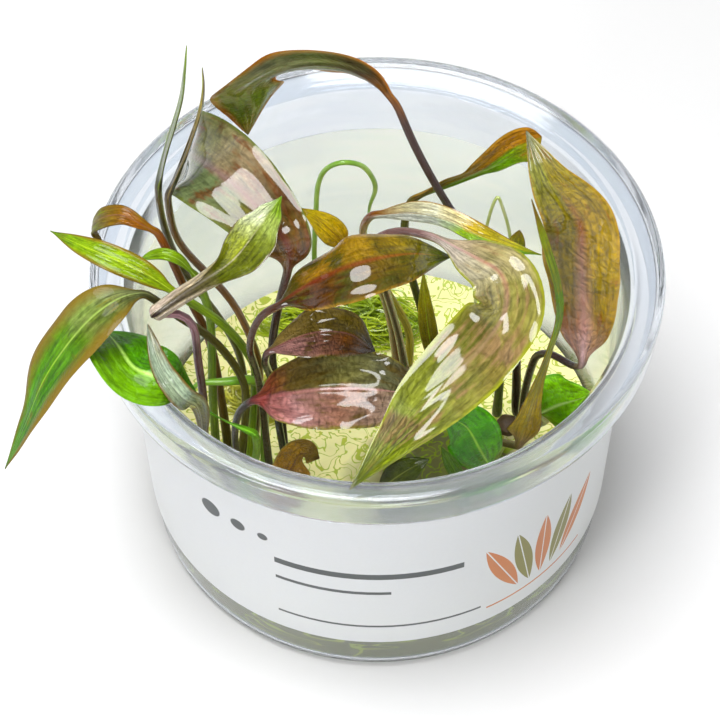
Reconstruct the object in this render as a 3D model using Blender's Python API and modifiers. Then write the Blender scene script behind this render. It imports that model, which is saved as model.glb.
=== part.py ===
"""A potted Cryptocoryne nurii: tissue-culture plantlets in a clear flanged plastic cup.

The cup stands on its flat base at the origin, +Z is up, and the front of the cup faces -Y.
Sizes in the tables are millimetres; MM turns them into Blender's metres.
"""

from dataclasses import dataclass
from math import cos, radians, sin

import bmesh
import bpy
from mathutils import Vector

MM = 0.001

# Cup
CUP_HEIGHT = 65.0
RIM_RADIUS = 50.0
RIM_INNER_RADIUS = 45.0
RIM_INNER_DROP = 1.5
SKIRT_HEIGHT = 7.5
SKIRT_TAPER = 0.4
WALL_TOP_RADIUS = 44.4
WALL_BASE_RADIUS = 42.0
WALL = 0.9
BASE_ROUNDING = 3.0
FLOOR = 1.0
CUP_SIDES = 56

# Label band, wrapped right round the wall
LABEL_BOTTOM = 10.4
LABEL_TOP = 51.5
LABEL_THICKNESS = 0.25

# Nutrient gel on the cup's floor
GEL_TOP = 12.5

# Clearance between pieces that touch in the real pot
GAP = 0.3

# Plantlets: each crown is a short stub of rhizome with its leaves standing round it
CROWN_RADIUS = 2.4
CROWN_HEIGHT = 3.4
SHEATH_RING = 3.7
SHEATH_FOOT = GEL_TOP + 1.0
CROWNS = {
    "left_front": (-19.0, -15.0),
    "left_back": (-27.0, -7.0),
    "middle": (8.0, 14.0),
    "right": (24.5, 2.0),
    "front": (11.0, -15.0),
}

# Leaf make
PETIOLE_RADIUS = 0.75
BLADE_THICKNESS = 0.5
TIP_THICKNESS = 0.2
PETIOLE_RINGS = 7
BLADE_RINGS = 9

OLIVE = (0.16, 0.17, 0.04)
BROWN = (0.20, 0.09, 0.05)
PURPLE = (0.27, 0.10, 0.10)
GREEN = (0.13, 0.33, 0.02)
LIME = (0.33, 0.60, 0.02)
AMBER = (0.45, 0.33, 0.04)
ROOT = (0.62, 0.66, 0.16)


@dataclass(frozen=True)
class Leaf:
    """One leaf: its petiole and blade follow hand-set points, base to tip."""

    name: str
    crown: str
    side: float  # compass angle of its foot round the crown, degrees
    petiole: tuple  # points between the crown and the blade
    blade: tuple  # points along the midrib
    half_width: float
    widest: float  # where along the blade it is widest, 0 to 1
    facing: tuple  # (azimuth, elevation) that the upper face looks to, base to tip
    fullness: float = 2.0  # higher is slimmer towards both ends
    cupping: float = 0.12  # how far the margins rise above the midrib, in half widths
    colour: tuple = OLIVE


LEAVES = (
    # The long leaf that arches over the back of the cup and hangs its tip
    Leaf(
        "leaf_arching", "right", 60,
        petiole=((25, 6, 40), (19.5, 5, 60), (13, 2, 76), (6.5, 2.5, 92)),
        blade=((3.5, 4.5, 100.5), (-0.5, 6.5, 104.5), (-6.5, 8.5, 106), (-14, 10.5, 103.5),
               (-20.5, 11.5, 98), (-21, 15, 89), (-22, 16, 81)),
        half_width=8.2, widest=0.5,
        facing=((70, 25), (60, 20), (60, 40), (105, 45), (120, 30), (135, -10)),
        colour=OLIVE,
    ),
    # The broad brown leaf, upper left, with its tip folded down behind
    Leaf(
        "leaf_broad_brown", "left_front", 50,
        petiole=((-17.5, -9, 36), (-18.5, -9.5, 52), (-17, -10.5, 66)),
        blade=((-15, -13, 79), (-15, -14, 88), (-21.5, -7, 91.5), (-27, -1.5, 92),
               (-30, 4, 88.5), (-31.5, 9.5, 84), (-32, 13, 79)),
        half_width=8.2, widest=0.66, fullness=1.1,
        facing=((-85, 45), (-90, 45), (-85, 55), (-120, 75), (165, 10), (130, -20)),
        colour=BROWN,
    ),
    # Two upright leaves at the far left that stand edge-on
    Leaf(
        "leaf_upright_back", "left_back", 55,
        petiole=((-24, -4, 40), (-27, -4, 54), (-34, 0.5, 64), (-36.5, 1, 76)),
        blade=((-36.5, -1, 87), (-34.5, 1, 95), (-32, 3.5, 103), (-31, 4.5, 109), (-30.5, 6.5, 113)),
        half_width=5.0, widest=0.4,
        facing=((10, 10), (10, 10), (20, 10)),
        colour=GREEN,
    ),
    Leaf(
        "leaf_upright_front", "left_back", 10,
        petiole=((-21, -4.5, 40), (-21.5, -5, 47), (-25, -4.5, 60.5), (-31, -4, 71), (-34, -5, 79)),
        blade=((-34.5, -6.5, 91), (-31.5, -3, 97), (-29, 0, 103), (-28, 2, 107), (-28, 3.5, 111)),
        half_width=4.0, widest=0.45,
        facing=((190, 5), (190, 5), (190, 5)),
        colour=BROWN,
    ),
    # The leaf that lies across the middle
    Leaf(
        "leaf_centre", "left_front", 100,
        petiole=((-20.5, -11.5, 38), (-21, -12.5, 50), (-22, -15.5, 62), (-20.5, -16.5, 70), (-19, -17.5, 74)),
        blade=((-16.5, -19, 77.5), (-12, -18, 81), (-4, -17.5, 86), (4.5, -14.5, 85), (12.5, -10, 79)),
        half_width=6.5, widest=0.42,
        facing=((-95, 80), (-90, 88), (-85, 80), (-70, 55)), cupping=-0.1,
        colour=AMBER,
    ),
    # The big leaf that hangs out over the left of the rim
    Leaf(
        "leaf_long_drooping", "left_back", 280,
        petiole=((-23.5, -14, 40), (-23.5, -13.5, 50), (-28, -14, 62), (-34, -15.5, 71)),
        blade=((-38.5, -16, 77.5), (-43, -19, 79.5), (-48.5, -22.5, 77), (-55, -26.5, 69),
               (-59, -30.5, 61), (-63.5, -33.5, 52)),
        half_width=5.9, widest=0.42,
        facing=((-90, 70), (-110, 88), (-160, 45), (-170, 30), (-170, 25)),
        colour=GREEN,
    ),
    Leaf(
        "leaf_lime", "left_back", 325,
        petiole=((-22, -7.5, 40), (-22, -8, 48), (-26.5, -9.5, 60.5)),
        blade=((-34, -12, 72.5), (-39, -10.5, 76), (-45, -8.5, 78), (-50.5, -5.5, 78), (-55.5, -1, 76)),
        half_width=2.4, widest=0.42,
        facing=((-90, 50), (-95, 55), (-100, 60)),
        colour=LIME,
    ),
    Leaf(
        "leaf_curled_brown", "left_back", 100,
        petiole=((-29.5, -2, 44), (-32.5, -2.5, 58), (-35.5, -3.5, 73)),
        blade=((-37, -2.5, 77), (-40, -2, 79), (-43, -1, 80), (-46.5, 0, 78), (-48.5, 1, 74), (-47, 1, 70)),
        half_width=1.9, widest=0.5,
        facing=((-90, 30), (-90, 40), (-100, 60), (180, 20), (150, -20)),
        colour=BROWN,
    ),
    Leaf(
        "leaf_thin_green", "left_back", 145,
        petiole=((-29.5, -8, 40), (-29, -7, 60)),
        blade=((-31, -6.5, 70.5), (-33.5, -6, 74), (-36, -5.5, 75), (-38.5, -5, 74), (-40.5, -4.5, 72)),
        half_width=1.1, widest=0.5,
        facing=((-90, 50), (-100, 50)),
        colour=LIME,
    ),
    # The bright green leaf that leans out over the rim, lower left
    Leaf(
        "leaf_low_green", "left_front", 230,
        petiole=((-22.5, -21, 30), (-21, -26, 47)),
        blade=((-21, -29, 55.5), (-25, -28, 57), (-29.5, -25, 57), (-32.5, -24, 61.5), (-35, -28, 69.5),
               (-40.5, -26.5, 70.5), (-43.5, -22, 71), (-46, -16.5, 68)),
        half_width=6.8, widest=0.78, fullness=4.2,
        facing=((-95, 50), (-70, 40), (-30, 35), (-60, 70)),
        colour=GREEN,
    ),
    Leaf(
        "leaf_grey_sheen", "left_back", 235,
        petiole=((-28.5, -17, 24), (-28, -21, 34)),
        blade=((-29.5, -24.5, 46), (-30, -26, 52), (-30, -26.5, 57), (-30.5, -28, 62.5), (-32.5, -30.5, 68),
               (-35.5, -28, 71.5), (-37, -25.5, 75), (-38, -22.5, 77.5)),
        half_width=2.2, widest=0.6,
        facing=((-110, 55), (-110, 50), (-100, 50), (-115, 50)),
        colour=OLIVE,
    ),
    # Two glossy purple leaves that lie level inside the cup
    Leaf(
        "leaf_upper_glossy", "left_front", 0,
        petiole=((-17.5, -13.5, 34), (-18.5, -12.5, 48), (-19.5, -14.5, 56)),
        blade=((-19, -16, 61), (-15.5, -15.5, 63), (-10.5, -15, 65), (-5, -15, 64.5), (-0.5, -15.5, 60.5)),
        half_width=5.1, widest=0.54, fullness=2.2,
        facing=((-90, 80), (-90, 80), (-90, 80)),
        colour=PURPLE,
    ),
    Leaf(
        "leaf_lower_glossy", "left_front", 180,
        petiole=((-24.5, -15.5, 24), (-25.5, -16.5, 36), (-24.5, -17, 45)),
        blade=((-22, -18, 50), (-16, -19, 53), (-9, -19.5, 55), (0, -20.5, 56), (9, -20, 53)),
        half_width=7.6, widest=0.5, fullness=1.5,
        facing=((-90, 70), (-88, 68), (-85, 60)),
        colour=PURPLE,
    ),
    Leaf(
        "leaf_small_folded", "left_front", 300,
        petiole=((-18, -19.5, 20),),
        blade=((-17.5, -21, 28), (-15.5, -21, 34), (-13.5, -20, 37), (-10.5, -19, 34)),
        half_width=3.6, widest=0.5,
        facing=((-90, 20), (-90, 45)), cupping=0.3,
        colour=BROWN,
    ),
    # The big leaf that folds forward and rests its tip over the front of the rim
    Leaf(
        "leaf_big_front", "middle", 240,
        petiole=((4, 9, 34), (0.5, 3, 60), (0, -3, 76.5), (3.5, -4, 79)),
        blade=((9, -11, 85.5), (16, -18, 88), (20, -22.5, 89), (20.5, -26, 84), (16, -29.5, 78),
               (6, -37.5, 72.5), (-5, -49.5, 68)),
        half_width=7.1, widest=0.47, fullness=2.1,
        facing=((-120, 80), (-95, 80), (-60, 85), (-60, 75), (-60, 40), (-75, 45)),
        colour=OLIVE,
    ),
    # The tall leaf that stands at the right of the cup
    Leaf(
        "leaf_tall_right", "right", 320,
        petiole=((26.5, -5, 32), (28, -8.5, 50), (31, -12, 54), (33.5, -15, 55)),
        blade=((35, -17, 57.5), (35, -15, 67), (34, -12.5, 80.5), (33, -11.5, 90), (27.5, -9.5, 99),
               (24, -4.5, 104)),
        half_width=7.2, widest=0.46, fullness=1.9,
        facing=((-95, 30), (-125, 25), (-110, 35), (-125, 40)),
        colour=AMBER,
    ),
    Leaf(
        "leaf_back_right", "middle", 0,
        petiole=((9, 15, 30), (6, 15, 46), (5, 13, 60)),
        blade=((6, 11.5, 68.5), (11.5, 11, 73), (18.5, 9, 80), (23.5, 8.5, 85.5), (28, 9.5, 87)),
        half_width=4.0, widest=0.75, fullness=2.1,
        facing=((-80, 20), (-60, -5), (-90, 25)),
        colour=BROWN,
    ),
    Leaf(
        "leaf_twisted", "middle", 180,
        petiole=((2.5, 12, 34), (-0.5, 8.5, 54), (-2.5, 3.5, 70)),
        blade=((-1, 1, 77), (6, -1.5, 80.5), (11, -4.5, 82.5), (16.5, -8, 82.5), (22.5, -9, 80), (27.5, -9, 78)),
        half_width=2.3, widest=0.45,
        facing=((-90, 45), (-95, 15), (-95, 40)), cupping=-0.2,
        colour=GREEN,
    ),
    Leaf(
        "leaf_yellow_back", "middle", 120,
        petiole=((6, 18, 24), (0, 16, 42)),
        blade=((-5.5, 13.5, 54), (-7.5, 13, 58), (-10.5, 13, 62), (-13.5, 14, 64)),
        half_width=2.6, widest=0.4,
        facing=((-90, 50), (-90, 60)),
        colour=AMBER,
    ),
    Leaf(
        "leaf_slender_tip", "right", 120,
        petiole=((23, 2, 42),),
        blade=((24, -1, 63), (23.5, -3, 72), (24, -3.5, 78)),
        half_width=1.8, widest=0.6,
        facing=((-90, 20), (-90, 20)),
        colour=OLIVE,
    ),
    Leaf(
        "leaf_round_green", "right", 255,
        petiole=((21, -12, 22),),
        blade=((20, -18, 29.5), (18, -18.5, 35.5), (15.5, -17.5, 41), (12, -19, 46)),
        half_width=5.2, widest=0.5, fullness=1.6,
        facing=((-75, 30), (-75, 40)),
        colour=GREEN,
    ),
    Leaf(
        "leaf_dark_slip", "front", 0,
        petiole=((15, -16, 20),),
        blade=((15, -20, 26), (14, -21.5, 32), (12.5, -22, 37), (11, -22.5, 42)),
        half_width=1.4, widest=0.5,
        facing=((-90, 40), (-90, 40)),
        colour=GREEN,
    ),
    Leaf(
        "leaf_ovate_green", "right", 5,
        petiole=((31, -4, 24),),
        blade=((29, -11, 36), (32, -12.5, 40.5), (35, -14, 44), (37.5, -15, 47)),
        half_width=6.0, widest=0.42, fullness=1.4,
        facing=((-80, 50), (-80, 50)),
        colour=GREEN,
    ),
    # The narrow twisted leaf that stands between the tall leaf and the big one
    Leaf(
        "leaf_hanging_slip", "right", 200,
        petiole=((20.5, -5, 20),),
        blade=((25, -17.5, 35), (25.5, -20, 45.5), (26.5, -21.5, 55.5), (28.5, -21, 66.5),
               (30, -19.5, 73.5), (29.5, -20, 82), (27.5, -19, 90.5), (24.5, -16, 100.5)),
        half_width=3.2, widest=0.28, fullness=1.6,
        facing=((-125, 30), (-55, 30), (-30, 10), (-45, 20), (-65, 30)),
        colour=AMBER,
    ),
    Leaf(
        "leaf_inner_olive", "middle", 300,
        petiole=((10, 6, 26),),
        blade=((10.5, -0.5, 36), (9.5, -0.5, 44), (8.5, -0.5, 54), (8, 0, 64)),
        half_width=1.7, widest=0.4,
        facing=((-90, 20), (-90, 20)),
        colour=OLIVE,
    ),
    Leaf(
        "leaf_low_olive", "front", 180,
        petiole=((3, -18, 20),),
        blade=((0, -22, 28), (3, -22, 32), (6, -21.5, 34.5), (9, -20.5, 35.5)),
        half_width=2.6, widest=0.5,
        facing=((-90, 50), (-90, 50)),
        colour=OLIVE,
    ),
)


# The leaf whose blade is rolled into a tube for half its length, on a petiole that flares under it
ROLLED_FOOT_CROWN = "left_back"
ROLLED_FOOT_SIDE = 190
ROLLED_PETIOLE = ((-31.5, -14, 26), (-30.5, -19, 42), (-30, -21, 56), (-30.5, -20.5, 66), (-30.5, -21, 76), (-30.5, -20, 83))
ROLLED_BLADE = ((-37.5, -22, 79), (-33, -20.5, 82), (-28, -19, 85), (-23.5, -17.5, 88), (-19.5, -14.5, 92), (-15.5, -11, 96))
ROLLED_TUBE_RADIUS = 1.35
ROLLED_OPEN_HALF_WIDTH = 3.6
ROLLED_FLARE = 1.9

# A petiole whose leaf was cut off, bent down at its end
CUT_STALK = ((-21, -8.5, 13.5), (-20.5, -8.5, 30), (-20.5, -9.5, 42), (-22.5, -10.5, 46), (-26.5, -11.5, 47),
             (-31.5, -12, 47), (-33, -11.5, 43.5))
CUT_STALK_RADIUS = 0.85

# Green roots that loop up out of the gel: (name, points, radius)
AERIAL_ROOTS = (
    ("root_curl", ((-11.5, 27.5, 25.5), (-11.5, 28, 35), (-11, 29, 45), (-10.5, 29.5, 52), (-9, 29, 57), (-6, 28, 60),
                   (-2.5, 29, 58), (-0.5, 29.5, 54), (0, 30, 50), (-1, 30.5, 45), (-1.5, 31.5, 38)), 0.55),
    ("root_loop", ((19.5, 24, 14), (19, 27, 28), (20.5, 28, 40), (21.5, 28, 47), (22.5, 28, 50), (23.5, 28, 47),
                   (25, 28, 40), (26.5, 27, 28), (28, 24, 14)), 0.35),
)

# Low mounds of roots and small shoots on the gel: (name, centre, half sizes, lumps)
ROOT_MOUNDS = (
    ("roots_back", (-5.0, 27.5), (21.0, 7.0), 10.0),
    ("roots_left", (-23.0, 9.0), (10.0, 6.0), 8.0),
    ("shoots_front", (-2.0, -25.0), (9.0, 6.0), 13.0),
)


def clear_scene():
    """Remove the startup objects."""
    for item in list(bpy.data.objects):
        bpy.data.objects.remove(item, do_unlink=True)


def new_collection(name, hidden=False):
    """A collection linked to the scene."""
    collection = bpy.data.collections.new(name)
    collection.hide_render = hidden
    bpy.context.scene.collection.children.link(collection)
    return collection


def new_material(name, colour, roughness=0.4, alpha=1.0, transmission=0.0):
    """A Principled material with the part's colour."""
    material = bpy.data.materials.new(name)
    material.use_nodes = True
    shader = material.node_tree.nodes["Principled BSDF"]
    shader.inputs["Base Color"].default_value = (*colour, 1.0)
    shader.inputs["Roughness"].default_value = roughness
    shader.inputs["Metallic"].default_value = 0.0
    shader.inputs["Alpha"].default_value = alpha
    shader.inputs["Transmission Weight"].default_value = transmission
    return material


def new_object(name, mesh, collection, material):
    """A named object with one material, shaded smooth."""
    made = bpy.data.objects.new(name, mesh)
    collection.objects.link(made)
    mesh.materials.append(material)
    mesh.shade_smooth()
    mesh.set_sharp_from_angle(angle=radians(40))
    return made


def turned(name, profile, collection, material, closed=False):
    """A solid of revolution from (radius, height) points, listed down its outer side."""
    points = [(radius * MM, 0.0, height * MM) for radius, height in profile]
    edges = [(i, i + 1) for i in range(len(points) - 1)]
    if closed:
        edges.append((len(points) - 1, 0))
    mesh = bpy.data.meshes.new(name)
    mesh.from_pydata(points, edges, [])
    made = new_object(name, mesh, collection, material)
    screw = made.modifiers.new("Screw", "SCREW")
    screw.axis = "Z"
    screw.steps = CUP_SIDES
    screw.render_steps = CUP_SIDES
    screw.use_merge_vertices = True
    screw.merge_threshold = 0.00001
    screw.use_smooth_shade = True
    return made


def wall_radius(height):
    """Outer radius of the tapered wall at a height."""
    share = (height - BASE_ROUNDING) / (CUP_HEIGHT - BASE_ROUNDING)
    return WALL_BASE_RADIUS + (WALL_TOP_RADIUS - WALL_BASE_RADIUS) * share


def corner(radius, height, size, start, end, steps):
    """Points round a corner arc in the profile plane, angles in degrees from +X towards +Z."""
    turns = [radians(start + (end - start) * i / steps) for i in range(steps + 1)]
    return [(radius + size * cos(a), height + size * sin(a)) for a in turns]


def build_cup(collection, material):
    """The clear cup: floor, tapered wall, flange that rises outwards and a hollow skirt."""
    inner_top = CUP_HEIGHT - RIM_INNER_DROP
    under_flange = inner_top - WALL
    skirt_foot = CUP_HEIGHT - SKIRT_HEIGHT
    skirt_radius = RIM_RADIUS - SKIRT_TAPER
    base_centre = WALL_BASE_RADIUS - BASE_ROUNDING
    inside = BASE_ROUNDING - FLOOR
    profile = [(0.0, FLOOR)]
    profile += corner(base_centre, BASE_ROUNDING, inside, -90, 0, 3)
    profile += [(wall_radius(inner_top - 2.0) - WALL, inner_top - 2.0)]
    profile += [(RIM_INNER_RADIUS, inner_top)]
    profile += corner(RIM_RADIUS - 0.9, CUP_HEIGHT - 0.9, 0.9, 90, 0, 2)
    profile += [(skirt_radius, skirt_foot), (skirt_radius - WALL, skirt_foot)]
    profile += [(RIM_RADIUS - WALL - 0.9, CUP_HEIGHT - 1.6)]
    profile += [(wall_radius(under_flange) + 0.8, under_flange)]
    profile += [(wall_radius(under_flange - 1.5), under_flange - 1.5)]
    profile += corner(base_centre, BASE_ROUNDING, BASE_ROUNDING, 0, -90, 4)
    profile += [(0.0, 0.0)]
    return turned("cup", profile, collection, material)


def build_label(collection, material):
    """The label band: a thin sleeve that follows the wall's taper."""
    inner_top = wall_radius(LABEL_TOP) + GAP
    inner_bottom = wall_radius(LABEL_BOTTOM) + GAP
    profile = [
        (inner_top + LABEL_THICKNESS, LABEL_TOP),
        (inner_bottom + LABEL_THICKNESS, LABEL_BOTTOM),
        (inner_bottom, LABEL_BOTTOM),
        (inner_top, LABEL_TOP),
    ]
    return turned("label_band", profile, collection, material, closed=True)


def build_gel(collection, material):
    """The disc of gel on the floor, with a small meniscus at the wall."""
    base_centre = WALL_BASE_RADIUS - BASE_ROUNDING
    inside = BASE_ROUNDING - FLOOR - GAP
    edge = wall_radius(GEL_TOP) - WALL - GAP
    profile = [(0.0, GEL_TOP), (edge - 2.0, GEL_TOP), (edge, GEL_TOP + 0.5)]
    profile += corner(base_centre, BASE_ROUNDING, inside, 0, -90, 3)
    profile += [(0.0, FLOOR + GAP)]
    return turned("gel", profile, collection, material)


def sheath_point(leaf):
    """Where a leaf's petiole starts beside its crown."""
    x, y = CROWNS[leaf.crown]
    turn = radians(leaf.side)
    return Vector((x + SHEATH_RING * cos(turn), y + SHEATH_RING * sin(turn), SHEATH_FOOT)) * MM


def smooth_path(points, count):
    """Evenly stepped points on a Catmull-Rom curve through the given ones."""
    ends = [2 * points[0] - points[1]] + list(points) + [2 * points[-1] - points[-2]]
    lengths = [0.0]
    for a, b in zip(points, points[1:]):
        lengths.append(lengths[-1] + (b - a).length)
    path = []
    for step in range(count):
        along = lengths[-1] * step / (count - 1)
        i = max(j for j in range(len(points) - 1) if lengths[j] <= along + 1e-12)
        t = (along - lengths[i]) / (lengths[i + 1] - lengths[i])
        a, b, c, d = ends[i : i + 4]
        path.append(
            0.5 * (2 * b + (c - a) * t + (2 * a - 5 * b + 4 * c - d) * t**2 + (3 * b - a - 3 * c + d) * t**3)
        )
    return path


def direction(azimuth, elevation):
    """Unit vector of a compass direction and a height angle, in degrees."""
    flat = cos(radians(elevation))
    return Vector((flat * cos(radians(azimuth)), flat * sin(radians(azimuth)), sin(radians(elevation))))


def facing_at(leaf, share):
    """The direction that the blade's upper face looks to, at a share of its length."""
    looks = [direction(*angles) for angles in leaf.facing]
    place = share * (len(looks) - 1)
    i = min(int(place), len(looks) - 2)
    return looks[i].lerp(looks[i + 1], place - i).normalized()


def blade_half_width(leaf, share):
    """Half width of the blade at a share of its length, in metres, never under the petiole."""
    share = min(max(share, 1e-6), 1 - 1e-6)
    rise = (share / leaf.widest) ** (leaf.fullness * leaf.widest)
    fall = ((1 - share) / (1 - leaf.widest)) ** (leaf.fullness * (1 - leaf.widest))
    width = leaf.half_width * rise * fall
    base = PETIOLE_RADIUS * max(0.0, 1 - share / 0.15)
    return max(width, base, TIP_THICKNESS) * MM


def tangents(path):
    """Unit tangent at each point of a path."""
    last = len(path) - 1
    return [(path[min(i + 1, last)] - path[max(i - 1, 0)]).normalized() for i in range(last + 1)]


def clear_reach(path, along, side, i, sign):
    """How far section i may reach to one side before it meets its neighbours' planes."""
    reach = 1.0
    for step in (-2, -1, 1, 2):
        j = i + step
        if 0 <= j < len(path):
            way = 1 if step < 0 else -1
            away = (path[i] - path[j]).dot(along[j]) * way
            closing = -sign * side.dot(along[j]) * way
            if closing > 1e-6:
                reach = min(reach, away / closing)
    return 0.85 * max(reach, 0.0)


def leaf_rings(leaf):
    """Six-point sections from the petiole's foot to the tip."""
    blade = [Vector(p) * MM for p in leaf.blade]
    stalk = [sheath_point(leaf)] + [Vector(p) * MM for p in leaf.petiole] + [blade[0]]
    path = smooth_path(stalk, PETIOLE_RINGS)[:-1] + smooth_path(blade, BLADE_RINGS)
    along = tangents(path)
    first = PETIOLE_RINGS - 1
    normals = [None] * len(path)
    for i in range(first, len(path)):
        look = facing_at(leaf, (i - first) / (BLADE_RINGS - 1))
        normals[i] = (look - look.dot(along[i]) * along[i]).normalized()
    for i in range(first - 1, -1, -1):
        after = normals[i + 1]
        normals[i] = (after - after.dot(along[i]) * along[i]).normalized()
    rings = []
    for i, centre in enumerate(path):
        share = max(0.0, (i - first) / (BLADE_RINGS - 1))
        side = along[i].cross(normals[i])
        limits = [clear_reach(path, along, side, i, sign) for sign in (-1, 1)]
        if i < first:
            half, depth, lift = PETIOLE_RADIUS * MM, 0.87 * PETIOLE_RADIUS * MM, 0.0
        else:
            half = blade_half_width(leaf, share)
            thin = min(1.0, share / 0.25)
            depth = (0.87 * PETIOLE_RADIUS * (1 - thin) + 0.5 * BLADE_THICKNESS * thin) * MM
            depth = max(depth * min(1.0, (1 - share) / 0.2), 0.5 * TIP_THICKNESS * MM)
            lift = leaf.cupping * half
        rings.append(section(centre, along[i], normals[i], half, depth, lift, limits))
    return rings


def loft(name, rings, collection, material):
    """A closed body through rings of equal count, capped at both ends.

    Upper and lower faces are split along the same diagonal, so that a twisted blade keeps its thickness.
    """
    count = len(rings[0])
    points = [point for ring in rings for point in ring]
    faces = []
    for r in range(len(rings) - 1):
        for i in range(count):
            j = (i + 1) % count
            a, b = r * count, (r + 1) * count
            if i < count // 2:
                faces += [(a + i, a + j, b + j), (a + i, b + j, b + i)]
            else:
                faces += [(a + i, a + j, b + i), (a + j, b + j, b + i)]
    faces.append(tuple(reversed(range(count))))
    faces.append(tuple(range((len(rings) - 1) * count, len(rings) * count)))
    mesh = bpy.data.meshes.new(name)
    mesh.from_pydata(points, [], faces)
    return new_object(name, mesh, collection, material)


def helper_union(target, helper):
    """Join a hidden helper body to a piece, so that the two are one closed solid."""
    helper.hide_render = True
    helper.display_type = "WIRE"
    join = target.modifiers.new("Join", "BOOLEAN")
    join.operation = "UNION"
    join.solver = "EXACT"
    join.object = helper


def section(centre, along, normal, half, depth, lift=0.0, limits=(1.0, 1.0)):
    """One six-point section of a stalk or blade, held within a limit on each side."""
    side = along.cross(normal)
    across = ((-1.0, 0), (-0.5, 1), (0.5, 1), (1.0, 0), (0.5, -1), (-0.5, -1))
    points = []
    for u, v in across:
        reach = min(half, limits[u > 0]) * u
        points.append(centre + side * reach + normal * (depth * v + lift * (reach / half) ** 2))
    return points


def build_rolled_leaf(collection, helpers, material):
    """The rolled leaf: a tube that opens into a pointed blade, joined to its petiole."""
    path = smooth_path([Vector(p) * MM for p in ROLLED_BLADE], 12)
    along = tangents(path)
    look = direction(-90, 40)
    rings = []
    for i, centre in enumerate(path):
        share = i / (len(path) - 1)
        normal = (look - look.dot(along[i]) * along[i]).normalized()
        opened = min(1.0, max(0.0, (share - 0.4) / 0.3))
        closing = min(1.0, (1.0 - share) / 0.3)
        half = (ROLLED_TUBE_RADIUS * (1 - opened) + ROLLED_OPEN_HALF_WIDTH * opened) * max(closing, 0.05)
        depth = (ROLLED_TUBE_RADIUS * (1 - opened) + 0.5 * BLADE_THICKNESS * opened) * max(closing, 0.4)
        rings.append(section(centre, along[i], normal, half * MM, 0.87 * depth * MM))
    blade = loft("leaf_rolled", rings, collection, material)
    x, y = CROWNS[ROLLED_FOOT_CROWN]
    turn = radians(ROLLED_FOOT_SIDE)
    foot = Vector((x + SHEATH_RING * cos(turn), y + SHEATH_RING * sin(turn), SHEATH_FOOT)) * MM
    path = smooth_path([foot] + [Vector(p) * MM for p in ROLLED_PETIOLE], 10)
    along = tangents(path)
    rings = []
    for i, centre in enumerate(path):
        share = i / (len(path) - 1)
        normal = (look - look.dot(along[i]) * along[i]).normalized()
        flare = max(0.0, (share - 0.75) / 0.25)
        half = PETIOLE_RADIUS * (1 - flare) + ROLLED_FLARE * flare
        rings.append(section(centre, along[i], normal, half * MM, 0.87 * PETIOLE_RADIUS * MM))
    helper_union(blade, loft("rolled_petiole", rings, helpers, material))
    return blade


def build_tube(name, points, radius, count, collection, material):
    """A round root or stalk: a curve with a bevel and filled caps."""
    path = smooth_path([Vector(p) * MM for p in points], count)
    curve = bpy.data.curves.new(name, "CURVE")
    curve.dimensions = "3D"
    curve.bevel_depth = radius * MM
    curve.bevel_resolution = 1
    curve.use_fill_caps = True
    spline = curve.splines.new("POLY")
    spline.points.add(count - 1)
    for point, place in zip(spline.points, path):
        point.co = (*place, 1.0)
    curve.materials.append(material)
    made = bpy.data.objects.new(name, curve)
    collection.objects.link(made)
    return made


def build_crown(name, place, collection, material):
    """The stub of rhizome that a plantlet's leaves stand round, resting on the gel."""
    mesh = bpy.data.meshes.new(name)
    shape = bmesh.new()
    bmesh.ops.create_uvsphere(shape, u_segments=10, v_segments=6, radius=1.0)
    for vert in shape.verts:
        vert.co.x = (place[0] + vert.co.x * CROWN_RADIUS) * MM
        vert.co.y = (place[1] + vert.co.y * CROWN_RADIUS) * MM
        vert.co.z = (GEL_TOP + GAP + CROWN_HEIGHT / 2 * (1 + vert.co.z)) * MM
    shape.to_mesh(mesh)
    shape.free()
    return new_object(name, mesh, collection, material)


def build_mound(name, place, half_sizes, height, collection, material):
    """A low lumpy mound of tangled roots, flat where it lies on the gel."""
    mesh = bpy.data.meshes.new(name)
    shape = bmesh.new()
    bmesh.ops.create_icosphere(shape, subdivisions=2, radius=1.0)
    for vert in shape.verts:
        x, y, z = vert.co
        lump = 1.0 + 0.10 * sin(7 * x + 2) * cos(6 * y) + 0.08 * sin(9 * y + 5 * z)
        vert.co.x = (place[0] + x * half_sizes[0] * lump) * MM
        vert.co.y = (place[1] + y * half_sizes[1] * lump) * MM
        vert.co.z = (GEL_TOP + GAP + height * (max(z, -0.15) + 0.15) / 1.15 * lump) * MM
    shape.to_mesh(mesh)
    shape.free()
    return new_object(name, mesh, collection, material)


def main():
    """Build the potted plant."""
    clear_scene()
    plant = new_collection("potted_cryptocoryne_nurii")
    helpers = new_collection("helpers", hidden=True)
    clear = new_material("clear_plastic", (0.9, 0.93, 0.95), 0.05, transmission=1.0)
    paper = new_material("label_paper", (0.9, 0.9, 0.9), 0.5)
    jelly = new_material("gel", (0.45, 0.45, 0.2), 0.2)
    build_cup(plant, clear)
    build_label(plant, paper)
    build_gel(plant, jelly)
    for leaf in LEAVES:
        loft(leaf.name, leaf_rings(leaf), plant, new_material(leaf.name, leaf.colour, 0.3))
    build_rolled_leaf(plant, helpers, new_material("leaf_rolled", PURPLE, 0.3))
    rhizome = new_material("rhizome", BROWN, 0.6)
    for name, place in CROWNS.items():
        build_crown(f"crown_{name}", place, plant, rhizome)
    root = new_material("root", ROOT, 0.4)
    build_tube("stalk_cut", CUT_STALK, CUT_STALK_RADIUS, 14, plant, new_material("green_stalk", LIME, 0.3))
    for name, points, radius in AERIAL_ROOTS:
        build_tube(name, points, radius, 22, plant, root)
    for name, place, half_sizes, height in ROOT_MOUNDS:
        build_mound(name, place, half_sizes, height, plant, root)


main()
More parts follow.
